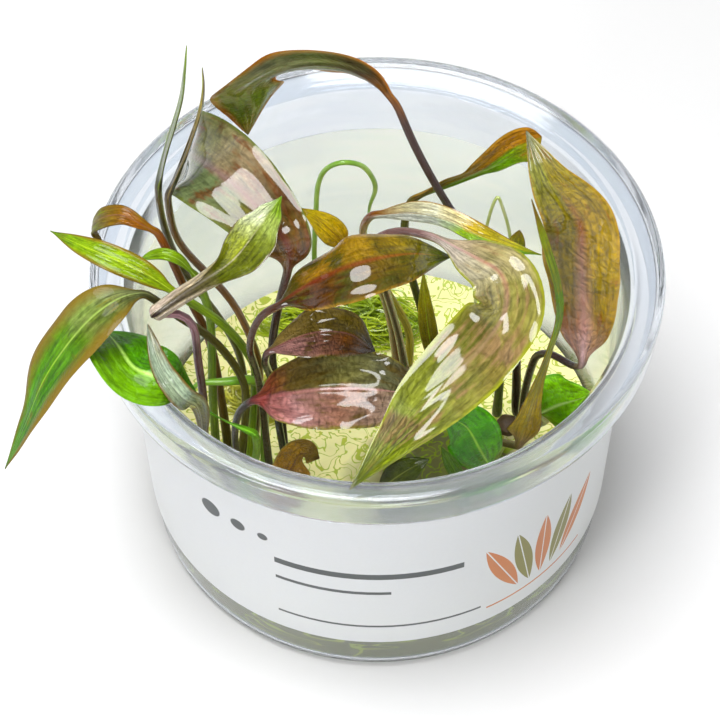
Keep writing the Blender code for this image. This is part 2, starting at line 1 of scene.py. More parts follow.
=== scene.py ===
"""Looks for a potted Cryptocoryne nurii: tissue-culture plantlets in a clear flanged cup.

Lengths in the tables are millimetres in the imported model's frame: the origin is the centre of the
cup's underside, +Z is up, and the front of the label faces -Y. A pattern's scale counts its repeats
in a metre, and the comment beside it gives the size of one.
"""

import logging
from dataclasses import dataclass
from enum import Enum
from math import atan2, cos, exp, pi, radians, sin
from random import Random

import bmesh
import bpy
from bpy.types import Material, Node, NodeSocket, Object, World
from mathutils import Matrix, Vector

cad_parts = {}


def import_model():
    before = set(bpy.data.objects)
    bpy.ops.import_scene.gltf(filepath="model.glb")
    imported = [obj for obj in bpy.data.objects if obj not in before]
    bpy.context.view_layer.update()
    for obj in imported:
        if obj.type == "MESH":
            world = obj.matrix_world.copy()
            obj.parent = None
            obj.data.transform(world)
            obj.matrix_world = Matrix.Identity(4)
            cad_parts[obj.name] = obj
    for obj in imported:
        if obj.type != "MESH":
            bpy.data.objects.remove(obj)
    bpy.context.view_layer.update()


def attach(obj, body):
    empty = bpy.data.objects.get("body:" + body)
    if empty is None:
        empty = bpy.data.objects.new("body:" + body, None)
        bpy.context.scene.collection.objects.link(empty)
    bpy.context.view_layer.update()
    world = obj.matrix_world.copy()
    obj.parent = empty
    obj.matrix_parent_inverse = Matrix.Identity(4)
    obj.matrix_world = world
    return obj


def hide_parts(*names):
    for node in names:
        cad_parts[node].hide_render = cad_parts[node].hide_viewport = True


MM = 0.001
GEL_TOP = 12.5
SHEATH_RING = 3.7
SHEATH_FOOT = GEL_TOP + 1.0
CROWNS = {
    "left_front": (-19.0, -15.0),
    "left_back": (-27.0, -7.0),
    "middle": (8.0, 14.0),
    "right": (24.5, 2.0),
    "front": (11.0, -15.0),
}
# Where the points of a leaf's cross-section stand, from one margin (-1) over the midrib to the other
ACROSS = (-1.0, -0.9, -0.72, -0.5, -0.28, -0.1, 0.0, 0.1, 0.28, 0.5, 0.72, 0.9, 1.0)
LEAF_SIDES = 2 * (len(ACROSS) - 1)

log = logging.getLogger("potted_plant")


def linear(code: str) -> tuple[float, float, float, float]:
    """Turn an sRGB hex colour, such as #7a5040, into linear red, green and blue, with alpha 1."""
    parts = [int(code[i : i + 2], 16) / 255 for i in (1, 3, 5)]
    turned = [c / 12.92 if c <= 0.04045 else ((c + 0.055) / 1.055) ** 2.4 for c in parts]
    return (turned[0], turned[1], turned[2], 1.0)


class Recipe:
    """The nodes of one material, or of the surroundings, as they are put together."""

    def __init__(self, owner: Material | World) -> None:
        """Start on a new material or world."""
        owner.use_nodes = True
        self.owner = owner
        self.nodes = owner.node_tree.nodes
        self.links = owner.node_tree.links

    def feed(self, node: Node, inputs: dict) -> None:
        """Give a node its values and links.

        Args:
            node: the node to feed.
            inputs: socket name or number to a value, to a socket to link, or to a node, whose first
                live output is linked.
        """
        for key, value in inputs.items():
            if isinstance(value, Node):
                value = next(socket for socket in value.outputs if socket.enabled)
            if isinstance(value, NodeSocket):
                self.links.new(value, node.inputs[key])
            else:
                node.inputs[key].default_value = value

    def add(self, kind: str, inputs: dict | None = None, **settings: str) -> Node:
        """Add a node with its settings, values and links.

        Args:
            kind: the node's type name after ShaderNode, such as Math.
            inputs: what its sockets get, as feed takes it.
            settings: properties of the node, such as operation="ADD".

        Returns:
            The new node.
        """
        node = self.nodes.new(f"ShaderNode{kind}")
        for key, value in settings.items():
            setattr(node, key, value)
        self.feed(node, inputs or {})
        return node

    def finished(self, looks: dict) -> Material:
        """Feed the main shader, as feed takes it, and return the material."""
        self.feed(self.nodes["Principled BSDF"], looks)
        return self.owner


def smooth_path(points: list[Vector], count: int) -> list[Vector]:
    """Step evenly along a Catmull-Rom curve.

    Args:
        points: the points that the curve passes through.
        count: how many steps to return, ends included.

    Returns:
        Points along the curve.
    """
    ends = [2 * points[0] - points[1]] + list(points) + [2 * points[-1] - points[-2]]
    lengths = [0.0]
    for a, b in zip(points, points[1:]):
        lengths.append(lengths[-1] + (b - a).length)
    path = []
    for step in range(count):
        along = lengths[-1] * step / (count - 1)
        i = max(j for j in range(len(points) - 1) if lengths[j] <= along + 1e-12)
        t = (along - lengths[i]) / (lengths[i + 1] - lengths[i])
        a, b, c, d = ends[i : i + 4]
        bent = (2 * a - 5 * b + 4 * c - d) * t**2
        path.append(0.5 * (2 * b + (c - a) * t + bent + (3 * b - a - 3 * c + d) * t**3))
    return path


def in_metres(points: tuple) -> list[Vector]:
    """Turn a table's millimetre points into vectors in metres."""
    return [Vector(point) * MM for point in points]


def tangents(path: list[Vector]) -> list[Vector]:
    """Unit tangent at each point of a path."""
    last = len(path) - 1
    return [(path[min(i + 1, last)] - path[max(i - 1, 0)]).normalized() for i in range(last + 1)]


def direction(azimuth: float, elevation: float) -> Vector:
    """Unit vector of a compass direction and a height angle, both in degrees."""
    flat = cos(radians(elevation))
    return Vector((flat * cos(radians(azimuth)), flat * sin(radians(azimuth)), sin(radians(elevation))))


def eased(value: float, low: float, high: float) -> float:
    """Smooth step of a value from 0 at low to 1 at high."""
    t = min(max((value - low) / (high - low), 0.0), 1.0)
    return t * t * (3 - 2 * t)


def step_of(share: float, count: int) -> tuple[int, float]:
    """Find a share's place among evenly spaced values.

    Args:
        share: 0 at the first value, 1 at the last.
        count: how many values there are.

    Returns:
        The number of the value before it, and the share of the step beyond that value.
    """
    place = share * (count - 1)
    number = min(int(place), count - 2)
    return number, place - number


def ringed_cylinder(name: str, sides: int, rings: int, capped: bool = True) -> Object:
    """Add a cylinder and cut its wall into rings in edit mode.

    Args:
        name: the object's name.
        sides: points round each ring, a multiple of four.
        rings: rings from end to end.
        capped: whether fans close the ends.

    Returns:
        The object, two units tall, ready for its rings to be placed.
    """
    bpy.ops.object.select_all(action="DESELECT")
    fill = "TRIFAN" if capped else "NOTHING"
    bpy.ops.mesh.primitive_cylinder_add(vertices=sides, radius=1.0, depth=2.0, end_fill_type=fill)
    piece = bpy.context.object
    piece.name = piece.data.name = name
    bpy.ops.object.mode_set(mode="EDIT")
    bpy.ops.mesh.select_mode(type="EDGE")
    bpy.ops.mesh.select_all(action="DESELECT")
    shape = bmesh.from_edit_mesh(piece.data)
    for edge in shape.edges:
        edge.select_set(abs(edge.verts[0].co.z - edge.verts[1].co.z) > 1.0)
    bmesh.update_edit_mesh(piece.data)
    bpy.ops.mesh.subdivide(number_cuts=rings - 2)
    bpy.ops.object.mode_set(mode="OBJECT")
    return piece


def place_rings(piece: Object, sides: int, rings: list[list[Vector]]) -> list[tuple[int, int]]:
    """Move a ringed cylinder's points to where its rings belong.

    Args:
        piece: an object from ringed_cylinder.
        sides: points round each ring.
        rings: for each ring, the place of each of its points.

    Returns:
        For each vertex its ring and its number round the ring, -1 for the middle of a cap.
    """
    places = []
    last = len(rings) - 1
    for vertex in piece.data.vertices:
        x, y, z = vertex.co
        ring = round((z + 1.0) / 2.0 * last)
        if x * x + y * y < 0.01:
            vertex.co = sum(rings[ring], Vector()) / sides
            places.append((ring, -1))
        else:
            number = round(atan2(y, x) / (2 * pi) * sides) % sides
            vertex.co = rings[ring][number]
            places.append((ring, number))
    piece.data.update()
    return places


def select_only(piece: Object) -> None:
    """Select one object alone and make it the active one."""
    bpy.ops.object.select_all(action="DESELECT")
    piece.select_set(True)
    bpy.context.view_layer.objects.active = piece


def finish_piece(piece: Object, material: Material, node: str) -> None:
    """Smooth a piece, dress it and hand it to the frame.

    Args:
        piece: the finished mesh object.
        material: its material.
        node: the CAD node that it stands for.
    """
    select_only(piece)
    bpy.ops.object.shade_smooth_by_angle(angle=radians(50))
    piece.data.materials.clear()
    piece.data.materials.append(material)
    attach(piece, "root")
    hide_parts(node)
    log.info("%s: %d faces, stands for %s", piece.name, len(piece.data.polygons), node)


@dataclass(frozen=True)
class LeafPatterns:
    """The nodes that a leaf's colours and relief are worked out from."""

    along: NodeSocket  # 0 at the blade's base and 1 at its tip, below 0 on the stalk
    across: NodeSocket  # 0 at the right margin and 1 at the left, with the tip ahead
    outward: Node  # 0 on the midrib and 1 at both margins
    frayed: Node  # the same, with a ragged edge
    length: Node  # along, shifted from patch to patch
    mottle: Node
    patch: Node
    streak: Node
    light: Node  # the streaks' brightness
    cell: Node  # the net of cross-veins: 0 on them and 1 between them
    crest: Node  # the arched side veins


@dataclass(frozen=True)
class LeafFinish:
    """Living leaf tissue under a thin waxy cuticle, which gives it a wet-looking gloss.

    Colours are sRGB hex values, given as evenly spaced tones from the blade's base to its tip.
    The halves left and right of the midrib, the lower face, the midrib and the stalk have tones of
    their own, and patches of pigment, streaks along the veins and a net of fine veins vary them. On some
    leaves, grey-green and whitish tones are painted sheen, and one half's darker tones are painted shade.
    """

    left: tuple[str, ...]
    right: tuple[str, ...] = ()  # as the left half where it is empty, and so is the lower face
    under: tuple[str, ...] = ()
    blotch: str = ""
    blotch_share: float = 0.45
    margin: str = ""
    margin_width: float = 0.1  # as a share of the half width, and so is the midrib's
    midrib: tuple[str, ...] = ("#7a5040",)
    midrib_width: float = 0.07
    stalk: tuple[str, ...] = ("#3a2420",)
    roughness: float = 0.5
    coat: float = 0.35  # the cuticle's share of the gloss
    wrinkle: float = 0.1  # depth of the relief, in millimetres
    fold: float = 5.0  # how many times deeper the broad folds are

    def material(self, name: str) -> Material:
        """Build the leaf's node material, which follows its UV map: U along, V across."""
        recipe = Recipe(bpy.data.materials.new(name))
        seen = self.patterns(recipe, name)
        colour = self.veins(recipe, seen, self.pigment(recipe, seen))
        looks = {
            "Base Color": self.edges(recipe, seen, colour),
            "Normal": self.relief(recipe, seen),
            "Roughness": self.roughness,
            "IOR": 1.45,
            "Specular IOR Level": 0.12,
            "Coat Weight": self.coat,
            "Coat Roughness": 0.07,
        }
        return recipe.finished(looks)

    def patterns(self, recipe: Recipe, name: str) -> LeafPatterns:
        """Lay out the patterns that the colours and the relief share.

        Args:
            recipe: the material's recipe.
            name: the material's name, which sets one leaf's pattern apart from the others'.

        Returns:
            The patterns' nodes.
        """
        place = recipe.add("TexCoord")
        lie = recipe.add("SeparateXYZ", {0: place.outputs["UV"]})
        along, across = lie.outputs["X"], lie.outputs["Y"]
        centred = recipe.add("Math", {0: across, 1: 0.5}, operation="SUBTRACT")
        half = recipe.add("Math", {0: centred}, operation="ABSOLUTE")
        outward = recipe.add("Math", {0: half, 1: 2.0}, operation="MULTIPLY")
        # Cell-scale mottling, 1.6 mm across, and patches of pigment about 8 mm across
        grain = {"Vector": place.outputs["Object"], "Scale": 620.0, "Detail": 5.0, "Roughness": 0.62}
        mottle = recipe.add("TexNoise", grain)
        spread = {"Vector": place.outputs["Object"], "Scale": 125.0, "Detail": 4.0, "Distortion": 0.8}
        patch = recipe.add("TexNoise", spread)
        # Streaks run with the veins: an eighth of the blade's length by a fourteenth of its width
        own = float(sum(map(ord, name)) % 89)
        run = self.lengthwise(recipe, lie, 8.0, 14.0, own)
        streak = recipe.add("TexNoise", {"Vector": run, "Scale": 1.0, "Detail": 4.0, "Roughness": 0.6})
        bright = {"Value": streak, "From Min": 0.34, "From Max": 0.66, "To Min": 0.52, "To Max": 1.4}
        light = recipe.add("MapRange", bright)
        # The net of cross-veins: cells a thirtieth of the blade long and a ninth of it wide, some 1.4 mm
        run = self.lengthwise(recipe, lie, 30.0, 9.0, own)
        net = recipe.add("TexVoronoi", {"Vector": run, "Scale": 1.0}, feature="DISTANCE_TO_EDGE")
        cell = recipe.add("MapRange", {"Value": net, "From Max": 0.3})
        fray = recipe.add("Math", {0: mottle, 1: 0.16, 2: -0.08}, operation="MULTIPLY_ADD")
        frayed = recipe.add("Math", {0: outward, 1: fray}, operation="ADD")
        drift = recipe.add("Math", {0: patch, 1: 0.3, 2: -0.15}, operation="MULTIPLY_ADD")
        length = recipe.add("Math", {0: along, 1: drift}, operation="ADD")
        # Two arched veins each side run from base to tip, so they keep their share of the width
        waves = recipe.add("Math", {0: frayed, 1: 1.0 / 3.5}, operation="PINGPONG")
        crest = recipe.add("MapRange", {"Value": waves, "From Min": 0.235, "From Max": 0.285})
        return LeafPatterns(
            along, across, outward, frayed, length, mottle, patch, streak, light, cell, crest
        )

    def pigment(self, recipe: Recipe, seen: LeafPatterns) -> Node:
        """Lay the tones of both halves and of the lower face, the patches of pigment and the streaks.

        Args:
            recipe: the material's recipe.
            seen: the leaf's patterns.

        Returns:
            The node with the colour.
        """
        colour = self.tones(recipe, seen.length, self.right or self.left)
        if self.right:
            left = self.tones(recipe, seen.length, self.left)
            ragged = {0: seen.patch, 1: 0.4, 2: seen.across}
            bent = recipe.add("Math", ragged, operation="MULTIPLY_ADD")
            side = recipe.add("MapRange", {"Value": bent, "From Min": 0.66, "From Max": 0.74})
            colour = recipe.add("Mix", {0: side, 6: colour, 7: left}, data_type="RGBA")
        if self.blotch:
            edge = 0.64 - 0.3 * self.blotch_share
            mass = recipe.add("Mix", {0: 0.45, 6: seen.patch, 7: seen.streak}, data_type="RGBA")
            cut = {"Value": mass, "From Min": edge, "From Max": edge + 0.09, "To Max": 0.85}
            spots = recipe.add("MapRange", cut)
            stained = {0: spots, 6: colour, 7: linear(self.blotch)}
            colour = recipe.add("Mix", stained, data_type="RGBA")
        below = recipe.add("Attribute", attribute_name="under").outputs["Fac"]
        lower = self.tones(recipe, seen.length, self.under or self.left)
        colour = recipe.add("Mix", {0: below, 6: colour, 7: lower}, data_type="RGBA")
        return recipe.add("HueSaturation", {"Color": colour, "Value": seen.light, "Saturation": 1.1})

    def veins(self, recipe: Recipe, seen: LeafPatterns, colour: Node) -> Node:
        """Draw the pale side veins, and darken the net of cross-veins and the mottles.

        Args:
            recipe: the material's recipe.
            seen: the leaf's patterns.
            colour: the node with the colour so far.

        Returns:
            The node with the colour.
        """
        pale = recipe.add("HueSaturation", {"Color": colour, "Value": 1.4, "Saturation": 0.95})
        faint = recipe.add("Math", {0: seen.crest, 1: 0.45}, operation="MULTIPLY")
        colour = recipe.add("Mix", {0: faint, 6: colour, 7: pale}, data_type="RGBA")
        net = recipe.add("MapRange", {"Value": seen.cell, "To Min": 0.34, "To Max": 0.0})
        dots = {"Value": seen.mottle, "From Min": 0.42, "From Max": 0.66, "To Max": 0.42}
        mottle = recipe.add("MapRange", dots)
        shade = recipe.add("Math", {0: net, 1: mottle}, operation="ADD")
        deep = recipe.add("HueSaturation", {"Color": colour, "Value": 0.5, "Saturation": 1.1})
        return recipe.add("Mix", {0: shade, 6: colour, 7: deep}, data_type="RGBA")

    def edges(self, recipe: Recipe, seen: LeafPatterns, colour: Node) -> Node:
        """Lay the margin, the midrib and the stalk over the blade's colour.

        Args:
            recipe: the material's recipe.
            seen: the leaf's patterns.
            colour: the node with the colour so far.

        Returns:
            The node with the colour.
        """
        if self.margin:
            inner, outer = 1.0 - self.margin_width * 1.3, 1.0 - self.margin_width * 0.4
            band = recipe.add("MapRange", {"Value": seen.frayed, "From Min": inner, "From Max": outer})
            edged = {0: band, 6: colour, 7: linear(self.margin)}
            colour = recipe.add("Mix", edged, data_type="RGBA")
        narrowing = {"Value": seen.along, "To Min": self.midrib_width * 1.5, "To Max": 0.012}
        reach = recipe.add("MapRange", narrowing)
        fading = {"Value": seen.outward, "From Max": reach, "To Min": 0.9, "To Max": 0.0}
        rib = recipe.add("MapRange", fading)
        ribbed = {0: rib, 6: colour, 7: self.tones(recipe, seen.length, self.midrib)}
        colour = recipe.add("Mix", ribbed, data_type="RGBA")
        up = recipe.add("Math", {0: seen.along, 1: 1.0}, operation="ADD")
        stalk = {"Color": self.tones(recipe, up, self.stalk), "Value": seen.light}
        ringed = recipe.add("HueSaturation", stalk)
        joint = recipe.add("MapRange", {"Value": seen.along, "From Min": -0.04, "From Max": 0.05})
        return recipe.add("Mix", {0: joint, 6: ringed, 7: colour}, data_type="RGBA")

    def relief(self, recipe: Recipe, seen: LeafPatterns) -> Node:
        """Raise the cells of the net by the wrinkle's depth, and the other patterns by their share of it.

        Args:
            recipe: the material's recipe.
            seen: the leaf's patterns.

        Returns:
            The node with the normal.
        """
        height = seen.cell
        shares = ((seen.crest, 0.4), (seen.mottle, 0.9), (seen.streak, 1.6), (seen.patch, self.fold))
        for part, share in shares:
            height = recipe.add("Math", {0: part, 1: share, 2: height}, operation="MULTIPLY_ADD")
        return recipe.add("Bump", {"Height": height, "Strength": 1.0, "Distance": self.wrinkle * MM})

    @staticmethod
    def lengthwise(recipe: Recipe, lie: Node, long: float, wide: float, own: float) -> Node:
        """Stretch the leaf's own plane for a pattern that runs with the veins.

        Args:
            recipe: the material's recipe.
            lie: the node with the place along and across the blade.
            long: how many times the pattern repeats along the blade.
            wide: how many times it repeats across it.
            own: a number that sets one leaf's pattern apart from the others'.

        Returns:
            The node with the pattern's coordinates.
        """
        u = recipe.add("Math", {0: lie.outputs["X"], 1: long}, operation="MULTIPLY")
        v = recipe.add("Math", {0: lie.outputs["Y"], 1: wide}, operation="MULTIPLY")
        return recipe.add("CombineXYZ", {0: u, 1: v, 2: own})

    @staticmethod
    def tones(
        recipe: Recipe, place: Node, codes: tuple[str, ...]
    ) -> Node | tuple[float, float, float, float]:
        """Run through evenly spaced tones.

        Args:
            recipe: the material's recipe.
            place: the node with a place from 0 to 1.
            codes: sRGB hex colours from 0 to 1.

        Returns:
            The node with the colour, or the colour itself where there is only one.
        """
        if len(codes) == 1:
            return linear(codes[0])
        ramp = recipe.add("ValToRGB", {0: place})
        stops = ramp.color_ramp.elements
        stops[0].color, stops[1].color = linear(codes[0]), linear(codes[-1])
        for number, code in enumerate(codes[1:-1], 1):
            stops.new(number / (len(codes) - 1)).color = linear(code)
        return ramp


@dataclass(frozen=True)
class Leaf:
    """One leaf, petiole and blade in one skin, along given points.

    The rings change from a round stalk to a thin blade with a raised midrib.
    """

    name: str
    node: str
    slot: str
    crown: str
    side: float  # degrees round the crown at which the petiole starts
    petiole: tuple  # points in millimetres, from the crown up
    blade: tuple  # points along the midrib, from its base to its tip
    half_width: float
    widest: float  # where along the blade it is widest, 0 to 1
    facing: tuple  # which way the upper face looks, evenly spaced along the blade
    finish: LeafFinish
    taper: float = 2.0  # how strongly the blade narrows towards its ends
    cupping: float = 0.12  # how far the margins rise, as a share of the half width
    ruffle: float = 0.05  # how far they wave, as a share of the half width
    waves: float = 3.0  # how many waves run along a margin
    roll: tuple = (0.0, 0.0)  # degrees that the section is rolled up, evenly spaced along the blade
    stalk_radius: float = 0.75
    thickness: float = 0.34
    widths: tuple = ()  # half widths, evenly spaced along the blade, where no simple outline fits
    opening: float = 0.14  # the share of the blade over which the stalk flattens into it

    def path(self) -> tuple[list[Vector], int]:
        """Walk up the petiole and along the midrib.

        Returns:
            The points of all rings, and the number of the blade's first ring.
        """
        x, y = CROWNS[self.crown]
        turn = radians(self.side)
        foot = Vector((x + SHEATH_RING * cos(turn), y + SHEATH_RING * sin(turn), SHEATH_FOOT)) * MM
        blade = in_metres(self.blade)
        stalk = smooth_path([foot] + in_metres(self.petiole) + [blade[0]], 16)[:-1]
        return stalk + smooth_path(blade, 34), len(stalk)

    def upper_normals(self, path: list[Vector], first: int) -> list[Vector]:
        """Find the upper face's normal at each ring.

        Args:
            path: the rings' centres.
            first: the number of the blade's first ring.

        Returns:
            Unit normals, square to the path.
        """
        looks = [direction(*angles) for angles in self.facing]
        along = tangents(path)
        normals = [Vector()] * len(path)
        for i in range(first, len(path)):
            k, beyond = step_of((i - first) / (len(path) - 1 - first), len(looks))
            look = looks[k].lerp(looks[k + 1], beyond)
            normals[i] = (look - look.dot(along[i]) * along[i]).normalized()
        for i in range(first - 1, -1, -1):
            after = normals[i + 1]
            normals[i] = (after - after.dot(along[i]) * along[i]).normalized()
        return normals

    def half_width_at(self, share: float) -> float:
        """Half width of the blade at a share of its length, in millimetres."""
        if self.widths:
            k, beyond = step_of(share, len(self.widths))
            near, far = self.widths[k : k + 2]
            return max(near + (far - near) * eased(beyond, 0.0, 1.0), 0.12)
        t = min(max(share, 1e-6), 1 - 1e-6)
        rise = (t / self.widest) ** (self.taper * self.widest)
        fall = ((1 - t) / (1 - self.widest)) ** (self.taper * (1 - self.widest))
        return max(self.half_width * rise * fall, 0.12)

    @staticmethod
    def clear_reach(path: list[Vector], along: list[Vector], side: Vector, i: int, sign: int) -> float:
        """How far a section may reach to one side before it meets its neighbours' planes, in millimetres.

        Args:
            path: the rings' centres.
            along: the path's tangents.
            side: the section's direction across the blade.
            i: the section's number.
            sign: 1 for the side that the direction points to, -1 for the other.

        Returns:
            The reach, far more than any leaf's where the path is nearly straight.
        """
        reach = 1000.0
        for j in range(max(i - 4, 0), min(i + 5, len(path))):
            way = 1 if j < i else -1
            closing = -sign * side.dot(along[j]) * way
            if j != i and closing > 1e-6:
                reach = min(reach, (path[i] - path[j]).dot(along[j]) * way / closing / MM)
        return 0.85 * max(reach, 0.0)

    def section_point(self, share: float, across: float, over: int, limit: float) -> tuple[float, float]:
        """Place one point of the blade's section.

        Args:
            share: place along the blade, 0 to 1.
            across: place across it, -1 to 1.
            over: 1 on the upper face, -1 on the lower, 0 on a margin.
            limit: the widest that this side may be, in millimetres.

        Returns:
            Millimetres to the side of the midrib and above it.
        """
        half = min(self.half_width_at(share), limit)
        reach = half * across
        # The blade thins to under half towards its margins and near its tip
        thick = 0.5 * self.thickness * (1.0 - 0.55 * across * across) * min(1.0, 0.35 + (1 - share) * 3)
        # The midrib is a stalk's width at the base, fades towards the tip and stands out mostly below
        rib = self.stalk_radius * (1 - share) ** 0.8 * exp(-((reach / 0.55) ** 2))
        skin = over * thick + (0.25 * rib if over > 0 else -0.75 * rib if over < 0 else 0.0)
        wave = sin(2 * pi * (self.waves * share + (0.3 if across > 0 else 0.0)) + 1.3 * self.waves)
        lift = half * (self.cupping * across * across + self.ruffle * abs(across) ** 3 * wave)
        # The side veins lie in shallow grooves
        lift += 0.10 * half**0.5 * sin(3.5 * pi * abs(across)) * eased(share, 0.0, 0.3)
        k, beyond = step_of(share, len(self.roll))
        turn = radians(self.roll[k] + (self.roll[k + 1] - self.roll[k]) * beyond)
        if abs(turn) < 0.02:
            return reach, lift + skin
        # A rolled blade follows an arc, and its one margin slips inside the other
        bend = turn / (2 * half)
        angle = bend * reach
        tight = 1.0 - 0.12 * max(0.0, across)
        x = tight * sin(angle) / bend - skin * sin(angle)
        y = tight * (1 - cos(angle)) / bend + skin * cos(angle)
        return x, y + lift * 0.3

    @staticmethod
    def lie_of(number: int) -> tuple[float, int]:
        """Find where a ring's point lies.

        Args:
            number: its number round the ring, -1 for the middle of a cap.

        Returns:
            Its place across the blade, -1 to 1, and 1 on the upper face, -1 on the lower or 0 between them.
        """
        half = LEAF_SIDES // 2
        if number < 0:
            return 0.0, 0
        if number > half:
            return ACROSS[number - half], -1
        return ACROSS[half - number], 0 if number in (0, half) else 1

    def build(self) -> None:
        """Model the leaf, dress it and hand it over."""
        path, first = self.path()
        along = tangents(path)
        normals = self.upper_normals(path, first)
        rings = []
        for i, centre in enumerate(path):
            share = max(0.0, (i - first) / (len(path) - 1 - first))
            flat = eased(share, 0.0, self.opening)
            swell = 1.0 + 0.45 * exp(-i / first * 9)
            side = normals[i].cross(along[i])
            limits = [self.clear_reach(path, along, side, i, sign) for sign in (-1, 1)]
            if any(self.roll):
                limits = [self.half_width, self.half_width]
            ring = []
            for number in range(LEAF_SIDES):
                angle = 2 * pi * number / LEAF_SIDES
                across, over = self.lie_of(number)
                x, y = self.section_point(share, across, over, limits[across > 0])
                round_x = self.stalk_radius * swell * cos(angle)
                round_y = self.stalk_radius * (0.87 * swell) * sin(angle)
                u, v = flat * x + (1 - flat) * round_x, flat * y + (1 - flat) * round_y
                ring.append(centre + (side * u + normals[i] * v) * MM)
            rings.append(ring)
        piece = ringed_cylinder(self.name, LEAF_SIDES, len(rings))
        places = place_rings(piece, LEAF_SIDES, rings)
        self.mark(piece, places, first, len(path))
        select_only(piece)
        modifier = piece.modifiers.new("Rounding", "SUBSURF")
        modifier.levels = modifier.render_levels = 1
        bpy.ops.object.modifier_apply(modifier=modifier.name)
        finish_piece(piece, self.finish.material(f"{self.name}_tissue"), self.node)

    def mark(self, piece: Object, places: list[tuple[int, int]], first: int, count: int) -> None:
        """Write the UV map, U along and V across, and the attribute that marks the lower face.

        Args:
            piece: the leaf's mesh object.
            places: each vertex's ring and number.
            first: the number of the blade's first ring.
            count: how many rings there are.
        """
        lies, under = [], []
        for ring, number in places:
            across, over = self.lie_of(number)
            u = (ring - first) / (count - 1 - first) if ring >= first else (ring - first) / first
            lies.append((u, 0.5 + 0.5 * across))
            under.append(1.0 if over < 0 else 0.0)
        layer = piece.data.uv_layers.active or piece.data.uv_layers.new(name="UVMap")
        for loop in piece.data.loops:
            layer.data[loop.index].uv = lies[loop.vertex_index]
        marked = piece.data.attributes.new("under", "FLOAT", "POINT")
        marked.data.foreach_set("value", under)


